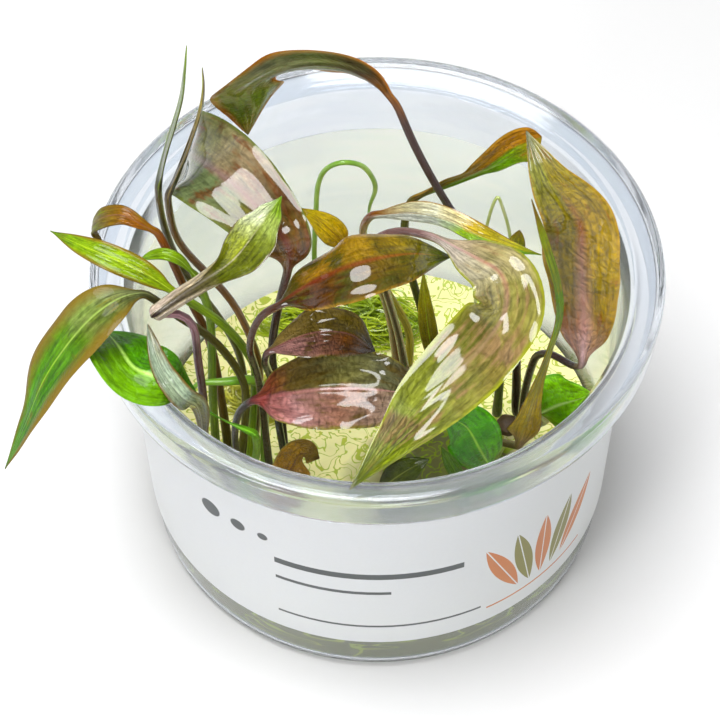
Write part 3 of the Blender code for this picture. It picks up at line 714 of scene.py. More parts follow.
# Leaves, from the arching one at the back to the small ones low in the cup
LEAVES = (
    Leaf(
        "arching_leaf", "leaf_arching", "leaf_olive", "right", 60,
        petiole=((25, 6, 40), (19.5, 5, 60), (13, 2, 76), (6.5, 2.5, 92)),
        blade=((3.5, 4.5, 100.5), (-0.5, 6.5, 104.5), (-6.5, 8.5, 106), (-14, 10.5, 103.5),
               (-20.5, 11.5, 98), (-21, 15, 89), (-22, 16, 81)),
        half_width=8.2, widest=0.5,
        facing=((70, 25), (60, 20), (60, 40), (105, 45), (120, 30), (135, -10)),
        # The olive-grey middle tones of the lower face are partly painted sheen, a reflection in the waxy
        # cuticle
        finish=LeafFinish(
            ("#4e5a1c", "#5a5c18", "#5f6a14"),
            under=("#8a5208", "#40301c", "#505630", "#666850", "#54520e", "#56700c", "#8a6410"),
            blotch="#5a3a1c", margin="#9a5c08", margin_width=0.24, midrib=("#30181a", "#3c2820", "#6a7a1c"),
            stalk=("#2a1814", "#3b2722", "#4a3630"), coat=0.6,
        ),
    ),
    Leaf(
        "broad_brown_leaf", "leaf_broad_brown", "leaf_brown", "left_front", 50,
        petiole=((-17.5, -9, 36), (-18.5, -9.5, 52), (-17, -10.5, 66)),
        blade=((-15, -13, 79), (-15, -14, 88), (-21.5, -7, 91.5), (-27, -1.5, 92),
               (-30, 4, 88.5), (-31.5, 9.5, 84), (-32, 13, 79)),
        half_width=8.2, widest=0.66, taper=1.1,
        facing=((-85, 45), (-90, 45), (-85, 55), (-120, 75), (165, 10), (130, -20)),
        # The grey-green tones of the upper part are painted sheen, a reflection in the waxy cuticle
        finish=LeafFinish(
            ("#74502c", "#6a5024", "#5a5820", "#6c7850", "#728058", "#3a4418", "#2a3410"),
            right=("#6a3c1c", "#64481c", "#6a5a34", "#8f8064", "#7c7c50", "#3a4418", "#2a3410"),
            under=("#4a5028", "#3a4418", "#2a3410"), blotch="#543018", blotch_share=0.5, margin="#5a6424",
            midrib=("#4a2018", "#6a3020", "#6a4034", "#84706a", "#6a6448", "#2f3a14"), midrib_width=0.2,
            stalk=("#2f1a16", "#452820"), coat=1.0, wrinkle=0.16, fold=9.0,
        ),
    ),
    Leaf(
        "upright_green_leaf", "leaf_upright_back", "leaf_green", "left_back", 55,
        petiole=((-24, -4, 40), (-27, -4, 54), (-34, 0.5, 64), (-36.5, 1, 76)),
        blade=((-36.5, -1, 87), (-34.5, 1, 95), (-32, 3.5, 103), (-31, 4.5, 109), (-30.5, 6.5, 113)),
        half_width=3.2, widest=0.4,
        facing=((0, 0), (0, 0), (5, 0)), cupping=0.03, ruffle=0.02,
        finish=LeafFinish(
            ("#2f3418", "#3c441c", "#55641c", "#7da018", "#8ab41c"), under=("#2a3018", "#6a8a1c"),
            margin="#6a7a2c", midrib=("#8a9a70", "#9ab43c"), stalk=("#5a4a1c", "#6a6a1c", "#4a3a1c"),
            coat=1.0,
        ),
    ),
    Leaf(
        "upright_brown_leaf", "leaf_upright_front", "leaf_brown", "left_back", 10,
        petiole=((-21, -4.5, 40), (-21.5, -5, 47), (-25, -4.5, 60.5), (-31, -4, 71), (-34, -5, 79)),
        blade=((-34.5, -6.5, 91), (-31.5, -3, 97), (-29, 0, 103), (-28, 2, 107), (-28, 3.5, 111)),
        half_width=2.8, widest=0.45,
        facing=((180, 0), (180, 0), (180, 0)), cupping=0.03, ruffle=0.02,
        finish=LeafFinish(
            ("#332c18", "#3a3218", "#5a4a1c", "#8a7a1c", "#9ab420"), under=("#2c2414", "#6a5a1c"),
            margin="#6a5a2c", midrib=("#a8a090", "#8a8a3c"), stalk=("#5a5a1c", "#8a5a1c", "#4a3418"),
            coat=1.0,
        ),
    ),
    Leaf(
        "centre_leaf", "leaf_centre", "leaf_amber", "left_front", 100,
        petiole=((-20.5, -11.5, 38), (-21, -12.5, 50), (-22, -15.5, 62), (-20.5, -16.5, 70),
                 (-19, -17.5, 74)),
        blade=((-16.5, -19, 77.5), (-12, -18, 81), (-4, -17.5, 86), (4.5, -14.5, 85), (12.5, -10, 79)),
        half_width=6.5, widest=0.42,
        facing=((-95, 80), (-90, 88), (-85, 80), (-70, 55)), cupping=-0.1,
        finish=LeafFinish(
            ("#524208", "#946a08", "#947408", "#6a620c", "#6f7c0a"),
            right=("#421a08", "#4f2e0a", "#644c0a", "#686008", "#687808"), under=("#7a6a3c", "#6a5c30"),
            blotch="#3a3c08", blotch_share=0.52, margin="#84640f",
            midrib=("#5c180a", "#6a280a", "#844a0a", "#847814"), midrib_width=0.14,
            stalk=("#241612", "#3a1f18", "#5a2a18"), coat=1.0, wrinkle=0.16, fold=16.0,
        ),
    ),
    Leaf(
        "long_drooping_leaf", "leaf_long_drooping", "leaf_green", "left_back", 280,
        petiole=((-23.5, -14, 40), (-23.5, -13.5, 50), (-28, -14, 62), (-34, -15.5, 71)),
        blade=((-38.5, -16, 77.5), (-43, -19, 79.5), (-48.5, -22.5, 77), (-55, -26.5, 69),
               (-59, -30.5, 61), (-63.5, -33.5, 52)),
        half_width=5.9, widest=0.42,
        facing=((-90, 70), (-110, 88), (-160, 45), (-170, 30), (-170, 25)),
        # The grey-green tones near the base are painted sheen, a reflection in the waxy cuticle
        finish=LeafFinish(
            ("#565c3c", "#646c38", "#427008", "#3f7806", "#3c7806", "#6a9440"),
            right=("#646848", "#7a8450", "#4c7c08", "#448006", "#3f8006", "#6a9440"), blotch="#5f5410",
            blotch_share=0.25, margin="#6f5c18", margin_width=0.42,
            midrib=("#94a064", "#8ab42c", "#6ca81c"), midrib_width=0.05,
            stalk=("#6d6a10", "#5f5a14", "#3a3410"), coat=0.2,
        ),
    ),
    Leaf(
        "lime_leaf", "leaf_lime", "leaf_lime", "left_back", 325,
        petiole=((-22, -7.5, 40), (-22, -8, 48), (-26.5, -9.5, 60.5)),
        blade=((-34, -12, 72.5), (-39, -10.5, 76), (-45, -8.5, 78), (-50.5, -5.5, 78), (-55.5, -1, 76)),
        half_width=2.4, widest=0.42,
        facing=((-90, 50), (-95, 55), (-100, 60)),
        finish=LeafFinish(
            ("#8ca808", "#8aaa06", "#80a406", "#74a006"), blotch="#7c7008", blotch_share=0.32,
            margin="#7a640c", margin_width=0.3, midrib=("#b4cc30",), under=("#84b418",), stalk=("#84a41c",),
        ),
    ),
    Leaf(
        "curled_brown_leaf", "leaf_curled_brown", "leaf_brown", "left_back", 100,
        petiole=((-29.5, -2, 44), (-32.5, -2.5, 58), (-35.5, -3.5, 73)),
        blade=((-37, -2.5, 77), (-40, -2, 79), (-43, -1, 80), (-46.5, 0, 78), (-48.5, 1, 74), (-47, 1, 70)),
        half_width=1.9, widest=0.5,
        facing=((-90, 30), (-90, 40), (-100, 60), (180, 20), (150, -20)),
        # The greyish tone towards the curled end is painted sheen
        finish=LeafFinish(
            ("#8f5a14", "#94580c", "#7a5c18", "#74683a", "#84804c", "#8a701c"),
            under=("#8a5a18", "#7a642c"), blotch="#6a7414", margin="#54440f",
            stalk=("#5a5a1c", "#7a4a14", "#8a4a10"),
        ),
    ),
    Leaf(
        "thin_green_leaf", "leaf_thin_green", "leaf_lime", "left_back", 145,
        petiole=((-29.5, -8, 40), (-29, -7, 60)),
        blade=((-31, -6.5, 70.5), (-33.5, -6, 74), (-36, -5.5, 75), (-38.5, -5, 74), (-40.5, -4.5, 72)),
        half_width=1.1, widest=0.5,
        facing=((-90, 50), (-100, 50)),
        finish=LeafFinish(
            ("#7a9a14", "#8cb414", "#8ab820"), midrib=("#b0d050",), margin="#6a6a14", stalk=("#7d9a2a",),
        ),
    ),
    Leaf(
        "low_green_leaf", "leaf_low_green", "leaf_green", "left_front", 230,
        petiole=((-22.5, -21, 30), (-21, -26, 47)),
        blade=((-21, -29, 55.5), (-25, -28, 57), (-29.5, -25, 57), (-32.5, -24, 61.5), (-35, -28, 69.5),
               (-40.5, -26.5, 70.5), (-43.5, -22, 71), (-46, -16.5, 68)),
        half_width=6.8, widest=0.78, taper=4.2,
        facing=((-95, 50), (-70, 40), (-30, 35), (-60, 70)),
        # The right half's darker green is painted shade, the shaded half of the folded blade
        finish=LeafFinish(
            ("#5a9808", "#589408", "#649c08", "#649a06", "#5c920a"),
            right=("#5a9808", "#4a8e06", "#448406", "#4a8e04", "#589a06"),
            midrib=("#84d028", "#b0e060", "#bce870"), margin="#649a10", margin_width=0.06,
            under=("#64a01c",), stalk=("#6ca414",), midrib_width=0.2, roughness=0.4, coat=0.25,
        ),
    ),
    Leaf(
        "grey_sheen_leaf", "leaf_grey_sheen", "leaf_olive", "left_back", 235,
        petiole=((-28.5, -17, 24), (-28, -21, 34)),
        blade=((-29.5, -24.5, 46), (-30, -26, 52), (-30, -26.5, 57), (-30.5, -28, 62.5), (-32.5, -30.5, 68),
               (-35.5, -28, 71.5), (-37, -25.5, 75), (-38, -22.5, 77.5)),
        half_width=2.2, widest=0.6,
        facing=((-110, 55), (-110, 50), (-100, 50), (-115, 50)),
        # The grey-green and pale tones of the middle and upper part are painted sheen, a reflection in the
        # waxy cuticle; the olive-brown base is the leaf's own
        finish=LeafFinish(
            ("#54460f", "#5c4e14", "#64581c", "#7c8a6c", "#8c9c84", "#7c8870"),
            right=("#4a3d0f", "#54480f", "#6a6428", "#9aac90", "#a4b49c", "#74603c"), margin="#6a5418",
            margin_width=0.25, midrib=("#8a7a3c", "#b4c4a8"),
            under=("#4c410f", "#54480f", "#64581c", "#849478", "#94a48c", "#6f6438"), stalk=("#4a4214",),
            coat=1.0,
        ),
    ),
    Leaf(
        "upper_glossy_leaf", "leaf_upper_glossy", "leaf_purple", "left_front", 0,
        petiole=((-17.5, -13.5, 34), (-18.5, -12.5, 48), (-19.5, -14.5, 56)),
        blade=((-19, -16, 61), (-15.5, -15.5, 63), (-10.5, -15, 65), (-5, -15, 64.5), (-0.5, -15.5, 60.5)),
        half_width=5.1, widest=0.54, taper=2.2,
        facing=((-90, 80), (-90, 80), (-90, 80)),
        finish=LeafFinish(
            ("#9c8450", "#968048", "#6f6028", "#2c1c0c"),
            right=("#b88884", "#a87c74", "#74481c", "#2a1a0c"), blotch="#4c3f16", margin="#6a5820",
            midrib=("#84403c", "#a06860", "#3a2414"), under=("#4a3428",), stalk=("#1c1410", "#2f2420"),
            coat=1.0, wrinkle=0.22, fold=17.0,
        ),
        ruffle=0.09,
    ),
    Leaf(
        "lower_glossy_leaf", "leaf_lower_glossy", "leaf_purple", "left_front", 180,
        petiole=((-24.5, -15.5, 24), (-25.5, -16.5, 36), (-24.5, -17, 45)),
        blade=((-22, -18, 50), (-16, -19, 53), (-9, -19.5, 55), (0, -20.5, 56), (9, -20, 53)),
        half_width=7.6, widest=0.5, taper=1.5,
        facing=((-90, 70), (-88, 68), (-85, 60)),
        finish=LeafFinish(
            ("#944440", "#7c6434", "#807c48", "#7c7c58", "#746850"),
            right=("#b05c58", "#c49490", "#a87c68", "#a8907c", "#7c6450"), blotch="#54441c",
            blotch_share=0.48, margin="#84782c", midrib=("#9c4848", "#c89088", "#b88078"),
            under=("#5a3a30",), stalk=("#2a1f1c", "#33221e"), coat=1.0, wrinkle=0.24, fold=17.0,
        ),
        ruffle=0.09,
    ),
    Leaf(
        "small_folded_leaf", "leaf_small_folded", "leaf_brown", "left_front", 300,
        petiole=((-18, -19.5, 20),),
        blade=((-17.5, -21, 28), (-15.5, -21, 34), (-13.5, -20, 37), (-10.5, -19, 34)),
        half_width=3.6, widest=0.5,
        facing=((-90, 20), (-90, 45)), cupping=0.3,
        finish=LeafFinish(
            ("#94602c", "#a87c30", "#a08848"), blotch="#5c4018", margin="#94843c", under=("#7a5838",),
            midrib=("#5a3420",), stalk=("#3f2c18",), wrinkle=0.2,
        ),
    ),
    Leaf(
        "big_front_leaf", "leaf_big_front", "leaf_olive", "middle", 240,
        petiole=((4, 9, 34), (0.5, 3, 60), (0, -3, 76.5), (3.5, -4, 79)),
        blade=((9, -11, 85.5), (16, -18, 88), (20, -22.5, 89), (20.5, -26, 84), (16, -29.5, 78),
               (6, -37.5, 72.5), (-5, -49.5, 68)),
        half_width=7.1, widest=0.47, taper=2.1,
        facing=((-120, 80), (-95, 80), (-60, 85), (-60, 75), (-60, 40), (-75, 45)),
        finish=LeafFinish(
            ("#c0ac98", "#a89c74", "#94904c", "#7c703a", "#848842", "#7a8828", "#6c7c10"),
            right=("#d0c4ba", "#b0a88c", "#8c844c", "#646420", "#7c8438", "#98a45c", "#6a780c"),
            blotch="#7c6448", blotch_share=0.4, margin="#8a9010", margin_width=0.12,
            midrib=("#c0a09c", "#a07058", "#8a6c50", "#847048", "#7c7c3c", "#808420"), midrib_width=0.1,
            under=("#8a7a4c", "#8a8a2c"), stalk=("#4a2c20", "#6a4438", "#8a5f5a"), coat=1.0, wrinkle=0.2,
            fold=10.0,
        ),
    ),
    Leaf(
        "tall_right_leaf", "leaf_tall_right", "leaf_amber", "right", 320,
        petiole=((26.5, -5, 32), (28, -8.5, 50), (31, -12, 54), (33.5, -15, 55)),
        blade=((35, -17, 57.5), (35, -15, 67), (34, -12.5, 80.5), (33, -11.5, 90), (27.5, -9.5, 99),
               (24, -4.5, 104)),
        half_width=7.2, widest=0.46, taper=1.9,
        facing=((-95, 30), (-125, 25), (-110, 35), (-125, 40)),
        finish=LeafFinish(
            ("#b08878", "#a07860", "#84701c", "#847018", "#847414", "#848434", "#8c9060"),
            right=("#b88c78", "#b08860", "#a88c10", "#a88804", "#987c08", "#98882c", "#8c9060"),
            blotch="#74400f", blotch_share=0.34, margin="#a8840c",
            midrib=("#d8b0b0", "#b88478", "#a07468", "#8a4a20", "#847414", "#74843c"), midrib_width=0.3,
            under=("#8a7a2c",), stalk=("#2f1a16", "#3c241e"), coat=1.0, wrinkle=0.2, fold=12.0,
        ),
    ),
    Leaf(
        "back_right_leaf", "leaf_back_right", "leaf_brown", "middle", 0,
        petiole=((9, 15, 30), (6, 15, 46), (5, 13, 60)),
        blade=((6, 11.5, 68.5), (11.5, 11, 73), (18.5, 9, 80), (23.5, 8.5, 85.5), (28, 9.5, 87)),
        half_width=4.0, widest=0.75, taper=2.1,
        facing=((-80, 20), (-60, -5), (-90, 25)),
        finish=LeafFinish(
            ("#544c10", "#7a6414", "#a4740a", "#a46c0a"),
            right=("#6a6a14", "#6a9414", "#7ab40c", "#94740c"), blotch="#74480c", margin="#8a680c",
            midrib=("#3a3410", "#5a7a14"), under=("#8a7a18",), stalk=("#4a5414", "#5a5a18"),
        ),
    ),
    Leaf(
        "twisted_leaf", "leaf_twisted", "leaf_green", "middle", 180,
        petiole=((2.5, 12, 34), (-0.5, 8.5, 54), (-2.5, 3.5, 70)),
        blade=((-1, 1, 77), (6, -1.5, 80.5), (11, -4.5, 82.5), (16.5, -8, 82.5), (22.5, -9, 80),
               (27.5, -9, 78)),
        half_width=2.3, widest=0.45,
        facing=((-90, 45), (-95, 15), (-95, 40)), cupping=-0.2,
        # The whitish tones near the base are painted sheen
        finish=LeafFinish(
            ("#9a5c1c", "#b4ac84", "#d8d8bc", "#c8ac48", "#b4ac44", "#9cac24"),
            right=("#b0b098", "#e4e8d8", "#e0e8d4", "#a0c834", "#84bc18", "#84bc18"), margin="#84600f",
            midrib=("#8a5424", "#a0a068", "#98b82c"), under=("#a8b45c",),
            stalk=("#6a3a14", "#8a5a1c", "#7a3c14"), coat=1.0, fold=9.0,
        ),
    ),
    Leaf(
        "yellow_back_leaf", "leaf_yellow_back", "leaf_amber", "middle", 120,
        petiole=((6, 18, 24), (0, 16, 42)),
        blade=((-5.5, 13.5, 54), (-7.5, 13, 58), (-10.5, 13, 62), (-13.5, 14, 64)),
        half_width=2.6, widest=0.4,
        facing=((-90, 50), (-90, 60)),
        finish=LeafFinish(
            ("#c0900c", "#dcb80a", "#bcac14"), blotch="#a06c0c", midrib=("#8a5c14",), margin="#a08c10",
            stalk=("#b8a830",),
        ),
    ),
    Leaf(
        "slender_tip_leaf", "leaf_slender_tip", "leaf_olive", "right", 120,
        petiole=((23, 2, 42),),
        blade=((24, -1, 63), (23.5, -3, 72), (24, -3.5, 78)),
        half_width=1.8, widest=0.6,
        facing=((-90, 20), (-90, 20)),
        finish=LeafFinish(
            ("#6a6a3c", "#8a9a6a", "#7a8a1c", "#a08a14"), midrib=("#5a5a2a",), margin="#7a5a1c",
            stalk=("#5a6a2a",),
        ),
    ),
    Leaf(
        "round_green_leaf", "leaf_round_green", "leaf_green", "right", 255,
        petiole=((21, -12, 22),),
        blade=((20, -18, 29.5), (18, -18.5, 35.5), (15.5, -17.5, 41), (12, -19, 46)),
        half_width=5.2, widest=0.5, taper=1.6,
        facing=((-75, 30), (-75, 40)),
        finish=LeafFinish(
            ("#5fa40a", "#5cb00a", "#48a40a"), right=("#68b00a", "#60c40a", "#50b40a"), blotch="#388808",
            midrib=("#b0e04c",), margin="#489808", stalk=("#7a9a1c",), roughness=0.28, coat=0.6,
        ),
    ),
    Leaf(
        "dark_slip_leaf", "leaf_dark_slip", "leaf_green", "front", 0,
        petiole=((15, -16, 20),),
        blade=((15, -20, 26), (14, -21.5, 32), (12.5, -22, 37), (11, -22.5, 42)),
        half_width=1.4, widest=0.5,
        facing=((-90, 40), (-90, 40)),
        finish=LeafFinish(("#447018", "#5f9018"), midrib=("#8ab43c",), stalk=("#5a6a1c",)),
    ),
    Leaf(
        "ovate_green_leaf", "leaf_ovate_green", "leaf_green", "right", 5,
        petiole=((31, -4, 24),),
        blade=((29, -11, 36), (32, -12.5, 40.5), (35, -14, 44), (37.5, -15, 47)),
        half_width=6.0, widest=0.42, taper=1.4,
        facing=((-80, 50), (-80, 50)),
        finish=LeafFinish(
            ("#74803a", "#8cd040", "#a0ec44", "#b4f45c"), blotch="#5c9820", midrib=("#b8d87c",),
            margin="#60b420", stalk=("#5a5a20",), roughness=0.3,
        ),
    ),
    Leaf(
        "hanging_slip_leaf", "leaf_hanging_slip", "leaf_amber", "right", 200,
        petiole=((20.5, -5, 20),),
        blade=((25, -17.5, 35), (25.5, -20, 45.5), (26.5, -21.5, 55.5), (28.5, -21, 66.5),
               (30, -19.5, 73.5), (29.5, -20, 82), (27.5, -19, 90.5), (24.5, -16, 100.5)),
        half_width=3.2, widest=0.28, widths=(2.0, 3.2, 2.6, 1.9, 1.4, 1.2, 1.0, 0.8, 0.1),
        facing=((-125, 30), (-55, 30), (-30, 10), (-45, 20), (-65, 30)),
        finish=LeafFinish(
            ("#c09c80", "#c8a850", "#c8ac18", "#a49c10", "#78a40e", "#64980f", "#848f1c", "#94701c"),
            blotch="#94701c", blotch_share=0.3, margin="#84600f", midrib=("#b09448", "#90b420"),
            stalk=("#5a4828",),
        ),
    ),
    Leaf(
        "inner_olive_leaf", "leaf_inner_olive", "leaf_olive", "middle", 300,
        petiole=((10, 6, 26),),
        blade=((10.5, -0.5, 36), (9.5, -0.5, 44), (8.5, -0.5, 54), (8, 0, 64)),
        half_width=1.7, widest=0.4,
        facing=((-90, 20), (-90, 20)),
        finish=LeafFinish(
            ("#7c7424", "#a49830", "#b0b014"), blotch="#6a5420", midrib=("#b0d020",), stalk=("#5f581c",),
        ),
    ),
    Leaf(
        "low_olive_leaf", "leaf_low_olive", "leaf_olive", "front", 180,
        petiole=((3, -18, 20),),
        blade=((0, -22, 28), (3, -22, 32), (6, -21.5, 34.5), (9, -20.5, 35.5)),
        half_width=2.6, widest=0.5,
        facing=((-90, 50), (-90, 50)),
        finish=LeafFinish(
            ("#5c641c", "#48581c"), blotch="#343a12", midrib=("#8a943a",), stalk=("#545a1c",),
        ),
    ),
)


ROLLED_LEAF = Leaf(
    "rolled_leaf", "leaf_rolled", "leaf_purple", "left_back", 190,
    petiole=((-31.5, -14, 26), (-30.5, -19, 42), (-30, -21, 56), (-30.5, -20.5, 66), (-30.5, -21, 76),
             (-32.5, -21, 79)),
    blade=((-37.5, -22, 79), (-33, -20.5, 82), (-28, -19, 85), (-23.5, -17.5, 88), (-19.5, -14.5, 92),
           (-15.5, -11, 96)),
    half_width=4.6, widest=0.7, widths=(4.2, 4.4, 4.4, 4.2, 4.0, 4.5, 4.4, 2.6, 0.1), opening=0.03,
    facing=((-90, 40), (-90, 40)), roll=(350, 345, 335, 310, 230, 110, 50, 25, 10),
    # The right half's darker tones along the tube are painted shade on its lower side
    finish=LeafFinish(
        ("#b0a090", "#b8a894", "#a49874", "#848828", "#9aa440", "#d4dcb4", "#90c028"),
        right=("#90827a", "#948674", "#807850", "#565e0a", "#5c640e", "#98a85c", "#7cb014"),
        under=("#b4a494", "#bcac9a", "#b0a284", "#84803c", "#747a24", "#98a458", "#8cb438"),
        blotch="#515a0c", blotch_share=0.38, margin="#5f5434", midrib=("#c8bcac", "#a8a084", "#848a34"),
        stalk=("#2c2a10", "#42291f", "#5a302c", "#a87880"), coat=1.0, wrinkle=0.18,
    ),
)


class Side(Enum):
    """The two faces of the label film."""

    PRINT = 0.0
    REVERSE = 1.0


def wall_radius(height: float) -> float:
    """Outer radius of the cup's tapered wall at a height, in millimetres."""
    return 42.0 + 2.4 * (height - 3.0) / 62.0


def turned_piece(name: str, profile: list[tuple[float, float]], sides: int, capped: bool = True) -> Object:
    """Turn a profile round the cup's axis.

    Args:
        name: the piece's name.
        profile: radius and height in millimetres, with the solid to the left of its direction.
        sides: how many steps round the axis.
        capped: whether the ends run in to the axis; if not, the profile's ends meet.

    Returns:
        The closed piece.
    """
    turns = [2 * pi * number / sides for number in range(sides)]
    rings = [[Vector((r * cos(a), r * sin(a), height)) * MM for a in turns] for r, height in profile]
    piece = ringed_cylinder(name, sides, len(rings), capped)
    place_rings(piece, sides, rings)
    if not capped:
        bpy.ops.object.mode_set(mode="EDIT")
        bpy.ops.mesh.select_all(action="SELECT")
        bpy.ops.mesh.remove_doubles(threshold=1e-6)
        bpy.ops.object.mode_set(mode="OBJECT")
    return piece


def arc(
    radius: float, height: float, size: float, start: float, end: float, steps: int
) -> list[tuple[float, float]]:
    """Points round a corner of a profile.

    Args:
        radius: distance of the corner's centre from the axis.
        height: height of the corner's centre.
        size: the corner's radius.
        start: first angle in degrees, 0 outwards and 90 up.
        end: last angle.
        steps: how many steps between them.

    Returns:
        The arc's points as radius and height.
    """
    turns = [radians(start + (end - start) * i / steps) for i in range(steps + 1)]
    return [(radius + size * cos(a), height + size * sin(a)) for a in turns]


@dataclass(frozen=True)
class ClearPlastic:
    """Injection-moulded clear polypropylene: see-through, faintly cool and milky, with soft highlights."""

    tint: str = "#f6f9fd"
    streak: str = "#e4ecf6"
    ior: float = 1.49
    roughness: float = 0.06

    def material(self) -> Material:
        """Build the cup's material."""
        recipe = Recipe(bpy.data.materials.new("clear_polypropylene"))
        place = recipe.add("TexCoord")
        # Flow marks run round the mould, some 11 mm long and 1.6 mm high
        flow = recipe.add("Mapping", {"Vector": place.outputs["Object"], "Scale": (1.0, 1.0, 7.0)})
        marks = recipe.add("TexNoise", {"Vector": flow, "Scale": 90.0, "Detail": 2.0})
        tones = {0: marks, 6: linear(self.streak), 7: linear(self.tint)}
        haze = {"Value": marks, "To Min": self.roughness, "To Max": self.roughness * 2.2}
        looks = {
            "Base Color": recipe.add("Mix", tones, data_type="RGBA"),
            "Roughness": recipe.add("MapRange", haze),
            "Normal": recipe.add("Bump", {"Height": marks, "Strength": 0.05, "Distance": 0.0002}),
            "IOR": self.ior,
            "Specular IOR Level": 0.18,
            "Transmission Weight": 0.97,
        }
        return recipe.finished(looks)


@dataclass(frozen=True)
class Cup:
    """The clear cup: rounded floor, tapered wall, and a flange with a hollow skirt round it."""

    height: float = 65.0
    rim_radius: float = 50.0
    rim_inner_radius: float = 45.0
    rim_drop: float = 1.5
    skirt: float = 7.5
    skirt_taper: float = 0.4
    wall: float = 0.9
    floor: float = 1.0
    base_radius: float = 39.0
    base_rounding: float = 3.0
    line_height: float = 9.4
    line_rise: float = 0.12
    sides: int = 128
    finish: ClearPlastic = ClearPlastic()

    def outside(self) -> list[tuple[float, float]]:
        """Outline from the underside's centre up the wall, with the faint raised line under the label."""
        under = self.height - self.rim_drop - self.wall
        line = self.line_height
        points = [(20.0, 0.35), (32.0, 0.3), (34.0, 0.0)]
        points += arc(self.base_radius, self.base_rounding, self.base_rounding, -90, 0, 6)
        points += [(wall_radius(line - 0.4), line - 0.4), (wall_radius(line) + self.line_rise, line)]
        points += [(wall_radius(h), h) for h in (line + 0.4, 20.0, 32.0, 44.0, 53.0, under - 1.5)]
        points += [(wall_radius(under - 0.5) + 0.2, under - 0.5), (wall_radius(under) + 0.8, under)]
        return points

    def flange(self) -> list[tuple[float, float]]:
        """Outline along the flange's underside, round the skirt's foot and back over the rim's top."""
        foot = self.height - self.skirt
        skirt_radius = self.rim_radius - self.skirt_taper
        points = [(self.rim_radius - self.wall - 1.6, self.height - 1.85)]
        points += arc(self.rim_radius - self.wall - 1.1, self.height - 2.7, 1.0, 75, 5, 3)
        points += [(skirt_radius - self.wall, foot + 1.2), (skirt_radius - self.wall, foot + 0.3)]
        points += arc(skirt_radius - self.wall / 2, foot + 0.35, self.wall / 2 - 0.1, 200, 340, 4)
        points += [(skirt_radius, foot + 1.1), (skirt_radius + 0.1, foot + 3.0)]
        points += arc(self.rim_radius - 1.1, self.height - 1.1, 1.1, 0, 90, 6)
        return points

    def inside(self) -> list[tuple[float, float]]:
        """Outline down from the rim's top to the middle of the cup's floor."""
        top = self.height - self.rim_drop
        points = [(self.rim_radius - 2.2, self.height - 0.2), (self.rim_inner_radius + 1.2, top + 0.35)]
        points += arc(self.rim_inner_radius + 0.4, top - 0.75, 0.8, 80, 175, 4)
        points += [(wall_radius(h) - self.wall, h) for h in (top - 3.2, 54.0, 44.0, 32.0, 20.0, 10.0)]
        points += arc(self.base_radius, self.base_rounding, self.base_rounding - self.floor, 0, -90, 5)
        points += [(20.0, self.floor + 0.1)]
        return points

    def build(self) -> None:
        """Turn the cup, dress it and hand it over."""
        profile = self.outside() + self.flange() + self.inside()
        piece = turned_piece("clear_cup", profile, self.sides)
        finish_piece(piece, self.finish.material(), "cup")


